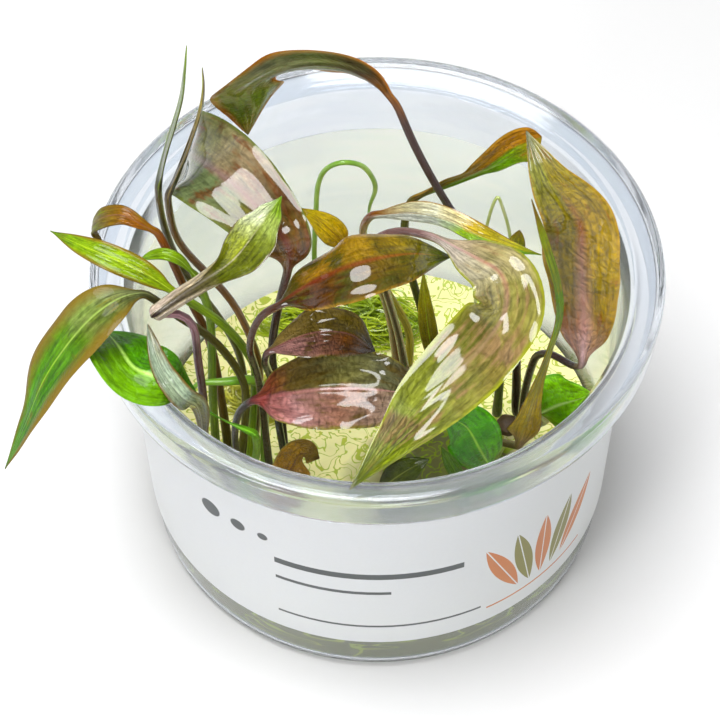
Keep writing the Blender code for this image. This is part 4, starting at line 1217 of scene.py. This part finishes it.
@dataclass(frozen=True)
class LabelFilm:
    """Satin white printed film, with a plain print of dots, bars and a row of leaves.

    The print's places are millimetres round the cup from the front, and up from its underside.
    """

    paper: str = "#d3d5d8"
    # The inner face's cream is also the colour of its painted glow
    reverse: str = "#fdf8e0"
    stain: str = "#f0f1e4"
    ink: str = "#33383c"
    rust: str = "#b5642e"
    olive: str = "#6f6a2a"
    radius: float = 43.9
    roughness: float = 0.42
    dots: tuple = ((-32.0, 39.0, 2.1), (-26.0, 39.0, 1.5), (-21.0, 39.0, 1.0))
    bars: tuple = ((-2.0, 33.0, 34.0, 1.7), (-8.5, 27.5, 21.0, 0.9), (0.0, 16.0, 38.0, 0.6))
    ground: tuple = (32.2, 14.8, 24.0, 0.5)
    leaves: int = 5

    def material(self) -> Material:
        """Build the film's material."""
        recipe = Recipe(bpy.data.materials.new("printed_label_film"))
        place = recipe.add("TexCoord")
        # Fibres of the paper core are 0.5 mm long, and the reverse is stained in patches of 17 mm
        core = {"Vector": place.outputs["Object"], "Scale": 1900.0, "Detail": 2.0}
        fibre = recipe.add("TexNoise", core)
        soft = recipe.add("TexNoise", {"Vector": place.outputs["Object"], "Scale": 60.0, "Detail": 2.0})
        dull = recipe.add("HueSaturation", {"Color": linear(self.paper), "Value": 0.96})
        blank = recipe.add("Mix", {0: fibre, 6: linear(self.paper), 7: dull}, data_type="RGBA")
        print_side = self.printed(recipe, self.unrolled(recipe, place), blank)
        stains = {0: soft, 6: linear(self.reverse), 7: linear(self.stain)}
        reverse = recipe.add("Mix", stains, data_type="RGBA")
        side = recipe.add("Attribute", attribute_name="side").outputs["Fac"]
        colour = recipe.add("Mix", {0: side, 6: print_side, 7: reverse}, data_type="RGBA")
        # Painted glow: the inner face emits its own cream colour, which stands in for the light that comes
        # round the cup through the film
        painted_glow = recipe.add("Mix", {0: side, 6: linear("#000000"), 7: reverse}, data_type="RGBA")
        looks = {
            "Base Color": colour,
            "Normal": recipe.add("Bump", {"Height": fibre, "Strength": 0.15, "Distance": 0.00005}),
            "Roughness": self.roughness,
            "Emission Color": painted_glow,
            "Emission Strength": 0.5,
            "Subsurface Weight": 1.0,
            "Subsurface Radius": (1.0, 0.97, 0.88),
            "Subsurface Scale": 0.002,
        }
        return recipe.finished(looks)

    def unrolled(self, recipe: Recipe, place: Node) -> Node:
        """Unroll the film.

        Args:
            recipe: the material's recipe.
            place: the texture coordinates' node.

        Returns:
            The node with arc length round the cup and height, both in millimetres.
        """
        axes = recipe.add("SeparateXYZ", {0: place.outputs["Object"]})
        front = recipe.add("Math", {0: axes.outputs["Y"], 1: -1.0}, operation="MULTIPLY")
        turn = recipe.add("Math", {0: axes.outputs["X"], 1: front}, operation="ARCTAN2")
        across = recipe.add("Math", {0: turn, 1: self.radius}, operation="MULTIPLY")
        up = recipe.add("Math", {0: axes.outputs["Z"], 1: 1 / MM}, operation="MULTIPLY")
        return recipe.add("CombineXYZ", {0: across, 1: up})

    def printed(self, recipe: Recipe, flat: Node, colour: Node) -> Node:
        """Print the dots, the bars and the row of leaves on the blank film.

        Args:
            recipe: the material's recipe.
            flat: the unrolled film's node.
            colour: the node with the blank film's colour.

        Returns:
            The node with the printed colour.
        """
        inked = [(self.disc(recipe, flat, *dot), self.ink) for dot in self.dots]
        inked += [(self.bar(recipe, flat, *bar), self.ink) for bar in self.bars]
        for number in range(self.leaves):
            x, lean = 23.0 + 4.6 * number, -24.0 + 12.0 * number
            ink = self.olive if number % 2 else self.rust
            inked.append((self.lens(recipe, flat, x, 26.0, 9.5, 1.9, lean), ink))
        inked.append((self.bar(recipe, flat, *self.ground), self.rust))
        for mask, ink in inked:
            colour = recipe.add("Mix", {0: mask, 6: colour, 7: linear(ink)}, data_type="RGBA")
        return colour

    @staticmethod
    def centred(recipe: Recipe, flat: Node, x: float, y: float, lean: float = 0.0) -> Node:
        """Shift the print's plane to a motif's centre and turn it, and split it into its axes.

        Args:
            recipe: the material's recipe.
            flat: the unrolled film's node.
            x: the motif's place round the cup.
            y: its height.
            lean: degrees that its long axis leans to the right.

        Returns:
            A node with the motif's own X and Y.
        """
        motif = {"Vector": flat, "Location": (x, y, 0.0), "Rotation": (0.0, 0.0, radians(-lean))}
        return recipe.add("SeparateXYZ", {0: recipe.add("Mapping", motif, vector_type="TEXTURE")})

    @staticmethod
    def disc(recipe: Recipe, flat: Node, x: float, y: float, size: float) -> Node:
        """Mask of a dot.

        Args:
            recipe: the material's recipe.
            flat: the unrolled film's node.
            x: the dot's place round the cup.
            y: its height.
            size: its radius.

        Returns:
            The mask's node.
        """
        near = recipe.add("VectorMath", {0: flat, 1: (x, y, 0.0)}, operation="DISTANCE")
        edge = {"Value": near, "From Min": size - 0.1, "From Max": size + 0.1, "To Min": 1.0, "To Max": 0.0}
        return recipe.add("MapRange", edge)

    def bar(self, recipe: Recipe, flat: Node, x: float, y: float, width: float, height: float) -> Node:
        """Mask of a plain bar.

        Args:
            recipe: the material's recipe.
            flat: the unrolled film's node.
            x: the bar's middle round the cup.
            y: its height.
            width: its length.
            height: its thickness.

        Returns:
            The mask's node.
        """
        own = self.centred(recipe, flat, x, y)
        wide = recipe.add("Math", {0: own.outputs[0], 1: 0.0, 2: width / 2}, operation="COMPARE")
        tall = recipe.add("Math", {0: own.outputs[1], 1: 0.0, 2: height / 2}, operation="COMPARE")
        return recipe.add("Math", {0: wide, 1: tall}, operation="MULTIPLY")

    def lens(
        self,
        recipe: Recipe,
        flat: Node,
        x: float,
        y: float,
        length: float,
        width: float,
        lean: float,
    ) -> Node:
        """Mask of a plain lens-shaped leaf with a bare midrib.

        Args:
            recipe: the material's recipe.
            flat: the unrolled film's node.
            x: the leaf's middle round the cup.
            y: its height.
            length: half its length.
            width: half its width.
            lean: degrees that it leans to the right.

        Returns:
            The mask's node.
        """
        own = self.centred(recipe, flat, x, y, lean)
        out = recipe.add("Math", {0: own.outputs[0]}, operation="ABSOLUTE")
        along = recipe.add("Math", {0: own.outputs[1], 1: 1.0 / length}, operation="MULTIPLY")
        square = recipe.add("Math", {0: along, 1: 2.0}, operation="POWER")
        hull = recipe.add("Math", {0: square, 1: -width, 2: width}, operation="MULTIPLY_ADD")
        inside = recipe.add("Math", {0: out, 1: hull}, operation="LESS_THAN")
        rib = recipe.add("Math", {0: out, 1: 0.12}, operation="GREATER_THAN")
        return recipe.add("Math", {0: inside, 1: rib}, operation="MULTIPLY")


@dataclass(frozen=True)
class LabelBand:
    """The label: a thin sleeve round the wall, a hair away from it."""

    bottom: float = 10.4
    top: float = 51.5
    gap: float = 0.3
    thickness: float = 0.25
    sides: int = 128
    finish: LabelFilm = LabelFilm()

    def build(self) -> None:
        """Turn the sleeve, mark its two faces, dress it and hand it over."""
        steps = [self.bottom + (self.top - self.bottom) * i / 8 for i in range(9)]
        outer = [(wall_radius(h) + self.gap + self.thickness, h) for h in steps]
        inner = [(wall_radius(h) + self.gap, h) for h in reversed(steps)]
        piece = turned_piece("label_sleeve", outer + inner + outer[:1], self.sides, capped=False)
        marks = []
        for vertex in piece.data.vertices:
            radius = vertex.co.xy.length / MM
            middle = wall_radius(vertex.co.z / MM) + self.gap + self.thickness / 2
            marks.append(Side.PRINT.value if radius > middle else Side.REVERSE.value)
        piece.data.attributes.new("side", "FLOAT", "POINT").data.foreach_set("value", marks)
        finish_piece(piece, self.finish.material(), "label_band")


@dataclass(frozen=True)
class NutrientGel:
    """Moist, cloudy growing gel: pale on top, olive where it is seen through the wall, with a painted glow
    of its own colours.
    """

    top: str = "#ece8a8"
    deep: str = "#5c5c08"
    strand: str = "#98a81c"
    # Colours and middle of the dark patch on top, which is partly roots and partly painted shade under the
    # front leaves
    roots: str = "#262c0a"
    shoots: str = "#566c14"
    root_crowd_and_shade: tuple[float, float, float] = (0.013, -0.012, 0.013)

    def material(self) -> Material:
        """Build the gel's material."""
        recipe = Recipe(bpy.data.materials.new("growing_gel"))
        place = recipe.add("TexCoord").outputs["Object"]
        axes = recipe.add("SeparateXYZ", {0: place})
        # Clouds some 9 mm across
        haze = {"Vector": place, "Scale": 110.0, "Detail": 4.0, "Distortion": 0.8}
        cloud = recipe.add("TexNoise", haze)
        surface = {"Value": axes.outputs["Z"], "From Min": 11.4 * MM, "From Max": 12.4 * MM}
        high = recipe.add("MapRange", surface)
        wall, top = self.wall_side(recipe, place, cloud), self.top_side(recipe, place, cloud)
        colour = recipe.add("Mix", {0: high, 6: wall, 7: top}, data_type="RGBA")
        looks = {
            "Base Color": colour,
            "Normal": recipe.add("Bump", {"Height": cloud, "Strength": 0.4, "Distance": 0.0006}),
            "Roughness": 0.16,
            "IOR": 1.34,
            "Specular IOR Level": 0.15,
            "Subsurface Weight": 0.35,
            "Subsurface Scale": 0.003,
            # Painted glow: the gel emits its own colours, which stand in for the light that reaches it
            # through the clear wall and floor
            "Emission Color": colour,
            "Emission Strength": 0.4,
        }
        return recipe.finished(looks)

    def wall_side(self, recipe: Recipe, place: NodeSocket, cloud: Node) -> Node:
        """Colour the gel as it is seen through the wall: cloudy olive with paler roots along it.

        Args:
            recipe: the material's recipe.
            place: the socket with the object coordinates.
            cloud: the clouds' node.

        Returns:
            The node with the colour.
        """
        shade = recipe.add("HueSaturation", {"Color": linear(self.deep), "Value": 0.6})
        olive = recipe.add("Mix", {0: cloud, 6: linear(self.deep), 7: shade}, data_type="RGBA")
        # Roots that have grown along the wall, under a millimetre thick, in swirls some 17 mm long
        run = recipe.add("Mapping", {"Vector": place, "Scale": (0.35, 0.35, 1.0)})
        bent = {"Vector": run, "Scale": 170.0, "Detail": 1.0, "Distortion": 1.2}
        swirl = recipe.add("TexNoise", bent)
        line = recipe.add("Math", {0: swirl, 1: 0.5, 2: 0.02}, operation="COMPARE")
        faint = recipe.add("Math", {0: line, 1: 0.55}, operation="MULTIPLY")
        return recipe.add("Mix", {0: faint, 6: olive, 7: linear(self.strand)}, data_type="RGBA")

    def top_side(self, recipe: Recipe, place: NodeSocket, cloud: Node) -> Node:
        """Colour the gel's top: pale, with fine roots under it, and a dark patch towards the front right
        that is crowded roots and painted shade.

        Args:
            recipe: the material's recipe.
            place: the socket with the object coordinates.
            cloud: the clouds' node.

        Returns:
            The node with the colour.
        """
        duller = recipe.add("HueSaturation", {"Color": linear(self.top), "Value": 0.72})
        pale = recipe.add("Mix", {0: cloud, 6: linear(self.top), 7: duller}, data_type="RGBA")
        # Fine roots in loops some 4 mm across
        loops = {"Vector": place, "Scale": 260.0, "Detail": 1.0, "Distortion": 2.0}
        knot = recipe.add("TexNoise", loops)
        twine = recipe.add("Math", {0: knot, 1: 0.5, 2: 0.036}, operation="COMPARE")
        buried = recipe.add("Math", {0: twine, 1: 0.85}, operation="MULTIPLY")
        pale = recipe.add("Mix", {0: buried, 6: pale, 7: linear(self.strand)}, data_type="RGBA")
        # The dark patch is crowded roots and painted shade under the front leaves, ragged and some 30 mm
        # across
        near = recipe.add("VectorMath", {0: place, 1: self.root_crowd_and_shade}, operation="DISTANCE")
        ragged = recipe.add("Math", {0: cloud, 1: 0.012, 2: near}, operation="MULTIPLY_ADD")
        edge = {"Value": ragged, "From Min": 0.018, "From Max": 0.026, "To Min": 0.92, "To Max": 0.0}
        root_crowd_and_shade = recipe.add("MapRange", edge)
        dark = {0: twine, 6: linear(self.roots), 7: linear(self.shoots)}
        mass = recipe.add("Mix", dark, data_type="RGBA")
        return recipe.add("Mix", {0: root_crowd_and_shade, 6: pale, 7: mass}, data_type="RGBA")


@dataclass(frozen=True)
class GelDisc:
    """The layer of gel on the cup's floor, with a meniscus at the wall and a slightly uneven top."""

    top: float = GEL_TOP
    gap: float = 0.3
    floor: float = 1.0
    wall: float = 0.9
    base_radius: float = 39.0
    base_rounding: float = 3.0
    finish: NutrientGel = NutrientGel()

    def build(self) -> None:
        """Turn the disc, roughen its top, dress it and hand it over."""
        edge = wall_radius(self.top) - self.wall - self.gap
        low = self.floor + self.gap
        rounding = self.base_rounding - low
        profile = [(25.0, low)] + arc(self.base_radius, self.base_rounding, rounding, -90, 0, 5)
        profile += [(edge - 0.25, 8.0), (edge, self.top + 0.5), (edge - 0.3, self.top + 0.45)]
        profile += [(edge - 1.1, self.top + 0.12)]
        profile += [(edge - step, self.top) for step in (2.5, 6, 10, 15, 20, 26, 33)]
        piece = turned_piece("gel_disc", profile, 96)
        for vertex in piece.data.vertices:
            x, y, z = vertex.co / MM
            if z > self.top - 0.1 and (x * x + y * y) ** 0.5 < edge - 0.6:
                vertex.co.z += (0.12 * sin(0.5 * x + 1.0) * cos(0.43 * y) - 0.13 + 0.05 * sin(1.1 * y)) * MM
        finish_piece(piece, self.finish.material(), "gel")


@dataclass(frozen=True)
class RootFlesh:
    """Thin living root or stalk tissue: moist, smooth, with slow changes of tone along it."""

    light: str
    dark: str
    roughness: float = 0.28

    def material(self, name: str) -> Material:
        """Build the tissue's material."""
        recipe = Recipe(bpy.data.materials.new(name))
        place = recipe.add("TexCoord").outputs["Object"]
        # Bands of tone are about 6 mm long, and the skin's grain is 0.7 mm
        tone = recipe.add("TexNoise", {"Vector": place, "Scale": 170.0, "Detail": 2.0})
        grain = recipe.add("TexNoise", {"Vector": place, "Scale": 1400.0, "Detail": 2.0})
        spread = recipe.add("MapRange", {"Value": tone, "From Min": 0.35, "From Max": 0.65})
        tones = {0: spread, 6: linear(self.light), 7: linear(self.dark)}
        looks = {
            "Base Color": recipe.add("Mix", tones, data_type="RGBA"),
            "Normal": recipe.add("Bump", {"Height": grain, "Strength": 0.3, "Distance": 0.00008}),
            "Roughness": self.roughness,
            "Coat Weight": 0.35,
        }
        return recipe.finished(looks)


def strands(name: str, routes: list[tuple[list[Vector], float]], steps: int, sides: int) -> Object:
    """Make round strands along routes as one mesh.

    Args:
        name: the object's name.
        routes: for each strand, its points in metres and its radius in millimetres.
        steps: points along each strand.
        sides: half the number of a strand's sides, less two.

    Returns:
        The mesh object, each strand closed and tapered to its tip.
    """
    curve = bpy.data.curves.new(name, "CURVE")
    curve.dimensions = "3D"
    curve.bevel_depth = MM
    curve.bevel_resolution = sides
    curve.use_fill_caps = True
    for points, radius in routes:
        spline = curve.splines.new("POLY")
        spline.points.add(steps - 1)
        for i, (point, place) in enumerate(zip(spline.points, smooth_path(points, steps))):
            point.co = (*place, 1.0)
            point.radius = radius * (1.0 - 0.6 * eased(i / (steps - 1), 0.75, 1.0))
    piece = bpy.data.objects.new(name, curve)
    bpy.context.scene.collection.objects.link(piece)
    select_only(piece)
    bpy.ops.object.convert(target="MESH")
    return bpy.context.object


@dataclass(frozen=True)
class Stalk:
    """A single round stalk or aerial root along given points."""

    name: str
    node: str
    slot: str
    points: tuple
    radius: float
    finish: RootFlesh

    def build(self) -> None:
        """Model the stalk, dress it and hand it over."""
        piece = strands(self.name, [(in_metres(self.points), self.radius)], 64, 3)
        finish_piece(piece, self.finish.material(f"{self.name}_tissue"), self.node)


@dataclass(frozen=True)
class RootTangle:
    """A low mound of tangled fine roots or small shoots on the gel."""

    name: str
    node: str
    centre: tuple[float, float]
    half_sizes: tuple[float, float]
    height: float
    count: int
    thickness: float
    seed: int
    finish: RootFlesh

    def route(self, draw: Random) -> list[Vector]:
        """Wander through the mound's form, from the gel up and over.

        Args:
            draw: the seeded source of the wandering.

        Returns:
            The strand's points, in metres.
        """
        turn = draw.uniform(0, 2 * pi)
        reach = draw.uniform(0.0, 0.8)
        x, y, z = reach * cos(turn), reach * sin(turn), 0.0
        heading = draw.uniform(0, 2 * pi)
        climb = draw.uniform(0.3, 1.3)
        curl = draw.uniform(-0.9, 0.9)
        # A strand's own limit inside the form, so that the mound's edge is ragged
        limit = draw.uniform(0.45, 0.97)
        points = []
        for _ in range(draw.randint(7, 12)):
            points.append(self.placed(x, y, z))
            heading += curl + draw.uniform(-0.5, 0.5)
            x += 0.22 * cos(heading)
            y += 0.30 * sin(heading)
            z = max(0.0, z + 0.24 * climb)
            climb -= draw.uniform(0.05, 0.4)
            spread = (x * x + y * y + z * z) ** 0.5
            edge = limit * (0.86 + 0.14 * sin(3 * atan2(y, x) + self.seed))
            if spread > edge:
                x, y, z = x * edge / spread, y * edge / spread, z * edge / spread
                heading += pi / 2
        return points

    def placed(self, u: float, v: float, w: float) -> Vector:
        """Place a point of the unit dome in the mound, in metres."""
        low = GEL_TOP + 0.2 + self.thickness
        x, y = self.centre[0] + u * self.half_sizes[0], self.centre[1] + v * self.half_sizes[1]
        return Vector((x, y, low + w * (self.height - self.thickness))) * MM

    def build(self) -> None:
        """Grow the strands, dress them and hand them over."""
        draw = Random(self.seed)
        routes = [(self.route(draw), self.thickness * draw.uniform(0.6, 1.15)) for _ in range(self.count)]
        piece = strands(self.name, routes, 26, 0)
        finish_piece(piece, self.finish.material(f"{self.name}_tissue"), self.node)


@dataclass(frozen=True)
class RhizomeBark:
    """Fibrous brown rhizome skin with darker grooves."""

    light: str = "#5a4426"
    dark: str = "#2a1d10"

    def material(self) -> Material:
        """Build the rhizome's material."""
        recipe = Recipe(bpy.data.materials.new("rhizome_bark"))
        place = recipe.add("TexCoord")
        # Fibres run upwards, 0.6 mm apart and 2 mm long
        run = recipe.add("Mapping", {"Vector": place.outputs["Object"], "Scale": (1.0, 1.0, 0.3)})
        fibre = recipe.add("TexNoise", {"Vector": run, "Scale": 1800.0, "Detail": 3.0})
        tones = {0: fibre, 6: linear(self.dark), 7: linear(self.light)}
        looks = {
            "Base Color": recipe.add("Mix", tones, data_type="RGBA"),
            "Normal": recipe.add("Bump", {"Height": fibre, "Strength": 0.6, "Distance": 0.0002}),
            "Roughness": 0.6,
        }
        return recipe.finished(looks)


@dataclass(frozen=True)
class Crown:
    """The stub of rhizome that one plantlet's leaves stand round."""

    name: str
    radius: float = 2.4
    height: float = 3.4

    def build(self, material: Material) -> None:
        """Model the stub with its leaf scars, dress it and hand it over.

        Args:
            material: the rhizome's material.
        """
        x, y = CROWNS[self.name]
        middle = Vector((x, y, GEL_TOP + 0.3 + self.height / 2)) * MM
        bpy.ops.object.select_all(action="DESELECT")
        bpy.ops.mesh.primitive_uv_sphere_add(segments=32, ring_count=20, radius=1.0)
        piece = bpy.context.object
        piece.name = piece.data.name = f"rhizome_{self.name}"
        for vertex in piece.data.vertices:
            u, v, w = vertex.co
            turn = atan2(v, u)
            scar = 1.0 - 0.05 * (1 + sin(11 * w)) - 0.04 * (1 + sin(5 * turn + 3 * w))
            offset = Vector((u * self.radius * scar, v * self.radius * scar, w * self.height / 2))
            vertex.co = middle + offset * MM
        finish_piece(piece, material, f"crown_{self.name}")


@dataclass(frozen=True)
class SoftBox:
    """One oval studio light, placed in metres and aimed inside the cup."""

    name: str
    place: tuple[float, float, float]
    width: float
    length: float
    watts: float
    aim: tuple[float, float, float] = (0.0, 0.0, 0.05)

    def build(self) -> None:
        """Hang the light."""
        data = bpy.data.lights.new(self.name, "AREA")
        data.shape = "ELLIPSE"
        data.size, data.size_y = self.width, self.length
        data.energy = self.watts
        lamp = bpy.data.objects.new(self.name, data)
        bpy.context.scene.collection.objects.link(lamp)
        lamp.location = self.place
        lamp.rotation_euler = (Vector(self.aim) - Vector(self.place)).to_track_quat("-Z", "Y").to_euler()


@dataclass(frozen=True)
class Studio:
    """Camera, floor, soft lights and pale surroundings, in millimetres and degrees."""

    target: tuple[float, float, float] = (-3.1, 0.0, 37.8)
    distance: float = 500.0
    elevation: float = 52.57
    roll: float = -0.55
    lens: float = 138.1
    walls: float = 1.15  # brightness at eye level
    ceiling: float = 0.15  # brightness overhead
    boxes: tuple[SoftBox, ...] = (
        SoftBox("overhead_softbox", (-0.1, -0.04, 0.75), 0.54, 0.46, 6.6),
        SoftBox("front_softbox", (0.1, -0.5, 0.75), 0.27, 0.26, 2.2),
        SoftBox("left_softbox", (-0.5, -0.62, 0.38), 0.32, 0.32, 3.2),
    )

    def camera(self) -> None:
        """Set the camera at the photograph's angle: above the cup's front, with a slight roll."""
        tilt, roll = radians(self.elevation), radians(self.roll)
        back = Vector((0.0, -cos(tilt), sin(tilt)))
        right, up = Vector((1.0, 0.0, 0.0)), Vector((0.0, sin(tilt), cos(tilt)))
        turned_right = right * cos(roll) + up * sin(roll)
        turned_up = up * cos(roll) - right * sin(roll)
        data = bpy.data.cameras.new("camera")
        data.lens, data.sensor_width = self.lens, 36.0
        data.clip_start, data.clip_end = 0.01, 20.0
        camera = bpy.data.objects.new("camera", data)
        bpy.context.scene.collection.objects.link(camera)
        basis = Matrix((turned_right, turned_up, back)).transposed()
        place = (Vector(self.target) + back * self.distance) * MM
        camera.matrix_world = Matrix.Translation(place) @ basis.to_4x4()
        bpy.context.scene.camera = camera

    def floor(self) -> None:
        """Lay the plain pale floor just under the cup."""
        bpy.ops.object.select_all(action="DESELECT")
        bpy.ops.mesh.primitive_plane_add(size=8.0, location=(0.0, 0.0, -0.0002))
        bpy.ops.object.transform_apply(location=True, rotation=True, scale=True)
        floor = bpy.context.object
        floor.name = "studio_floor"
        recipe = Recipe(bpy.data.materials.new("studio_paper"))
        place = recipe.add("TexCoord")
        # Faint clouds some 120 mm across
        cloud = recipe.add("TexNoise", {"Vector": place.outputs["Object"], "Scale": 8.0})
        tones = {0: cloud, 6: linear("#dedede"), 7: linear("#dadada")}
        looks = {"Base Color": recipe.add("Mix", tones, data_type="RGBA"), "Roughness": 0.9}
        floor.data.materials.append(recipe.finished(looks))

    def surroundings(self) -> None:
        """Surround the table with white walls that darken towards the ceiling."""
        world = bpy.data.worlds.new("pale_surroundings")
        recipe = Recipe(world)
        place = recipe.add("TexCoord")
        axes = recipe.add("SeparateXYZ", {0: place.outputs["Generated"]})
        rise = {"Value": axes.outputs["Z"], "From Min": 0.05, "From Max": 0.5}
        level = recipe.add("MapRange", rise | {"To Min": self.walls, "To Max": self.ceiling})
        recipe.feed(recipe.nodes["Background"], {"Color": linear("#ffffff"), "Strength": level})
        bpy.context.scene.world = world

    def build(self) -> None:
        """Set up the whole studio."""
        self.camera()
        self.floor()
        for box in self.boxes:
            box.build()
        self.surroundings()
        bpy.context.scene.view_settings.view_transform = "Standard"
        log.info("studio: camera, floor, %d soft boxes", len(self.boxes))


STALKS = (
    Stalk(
        "cut_stalk", "stalk_cut", "leaf_lime",
        ((-21, -8.5, 13.5), (-20.5, -8.5, 30), (-20.5, -9.5, 42), (-22.5, -10.5, 46), (-26.5, -11.5, 47),
         (-31.5, -12, 47), (-33, -11.5, 43.5)),
        0.85, RootFlesh("#74b81c", "#8ab030"),
    ),
    Stalk(
        "curled_root", "root_curl", "root",
        ((-11.5, 27.5, 25.5), (-11.5, 28, 35), (-11, 29, 45), (-10.5, 29.5, 52), (-9, 29, 57), (-6, 28, 60),
         (-2.5, 29, 58), (-0.5, 29.5, 54), (0, 30, 50), (-1, 30.5, 45), (-1.5, 31.5, 38)),
        0.5, RootFlesh("#9fbf5a", "#6f9a2a"),
    ),
    Stalk(
        "looped_root", "root_loop", "root",
        ((19.5, 24, 14), (19, 27, 28), (20.5, 28, 40), (21.5, 28, 47), (22.5, 28, 50), (23.5, 28, 47),
         (25, 28, 40), (26.5, 27, 28), (28, 24, 14)),
        0.33, RootFlesh("#cfd49a", "#a8b860"),
    ),
)
TANGLES = (
    RootTangle(
        "back_roots", "roots_back", (-5, 27.5), (21, 7), height=9.6, count=270, thickness=0.2, seed=11,
        finish=RootFlesh("#c4d828", "#84a010"),
    ),
    RootTangle(
        "left_roots", "roots_left", (-23, 9), (10, 6), height=7.6, count=150, thickness=0.2, seed=12,
        finish=RootFlesh("#d8d448", "#98a420"),
    ),
    RootTangle(
        "front_shoots", "shoots_front", (-2, -25), (9, 6), height=12.6, count=120, thickness=0.32, seed=13,
        finish=RootFlesh("#8aa820", "#3c4c10"),
    ),
)


def main() -> None:
    """Build the looks, piece by piece."""
    logging.basicConfig(level=logging.INFO, format="%(message)s")
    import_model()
    for part in (Studio(), Cup(), LabelBand(), GelDisc()):
        part.build()
    bark = RhizomeBark().material()
    for name in CROWNS:
        Crown(name).build(bark)
    for growth in LEAVES + (ROLLED_LEAF,) + STALKS + TANGLES:
        growth.build()


if __name__ == "__main__":
    main()
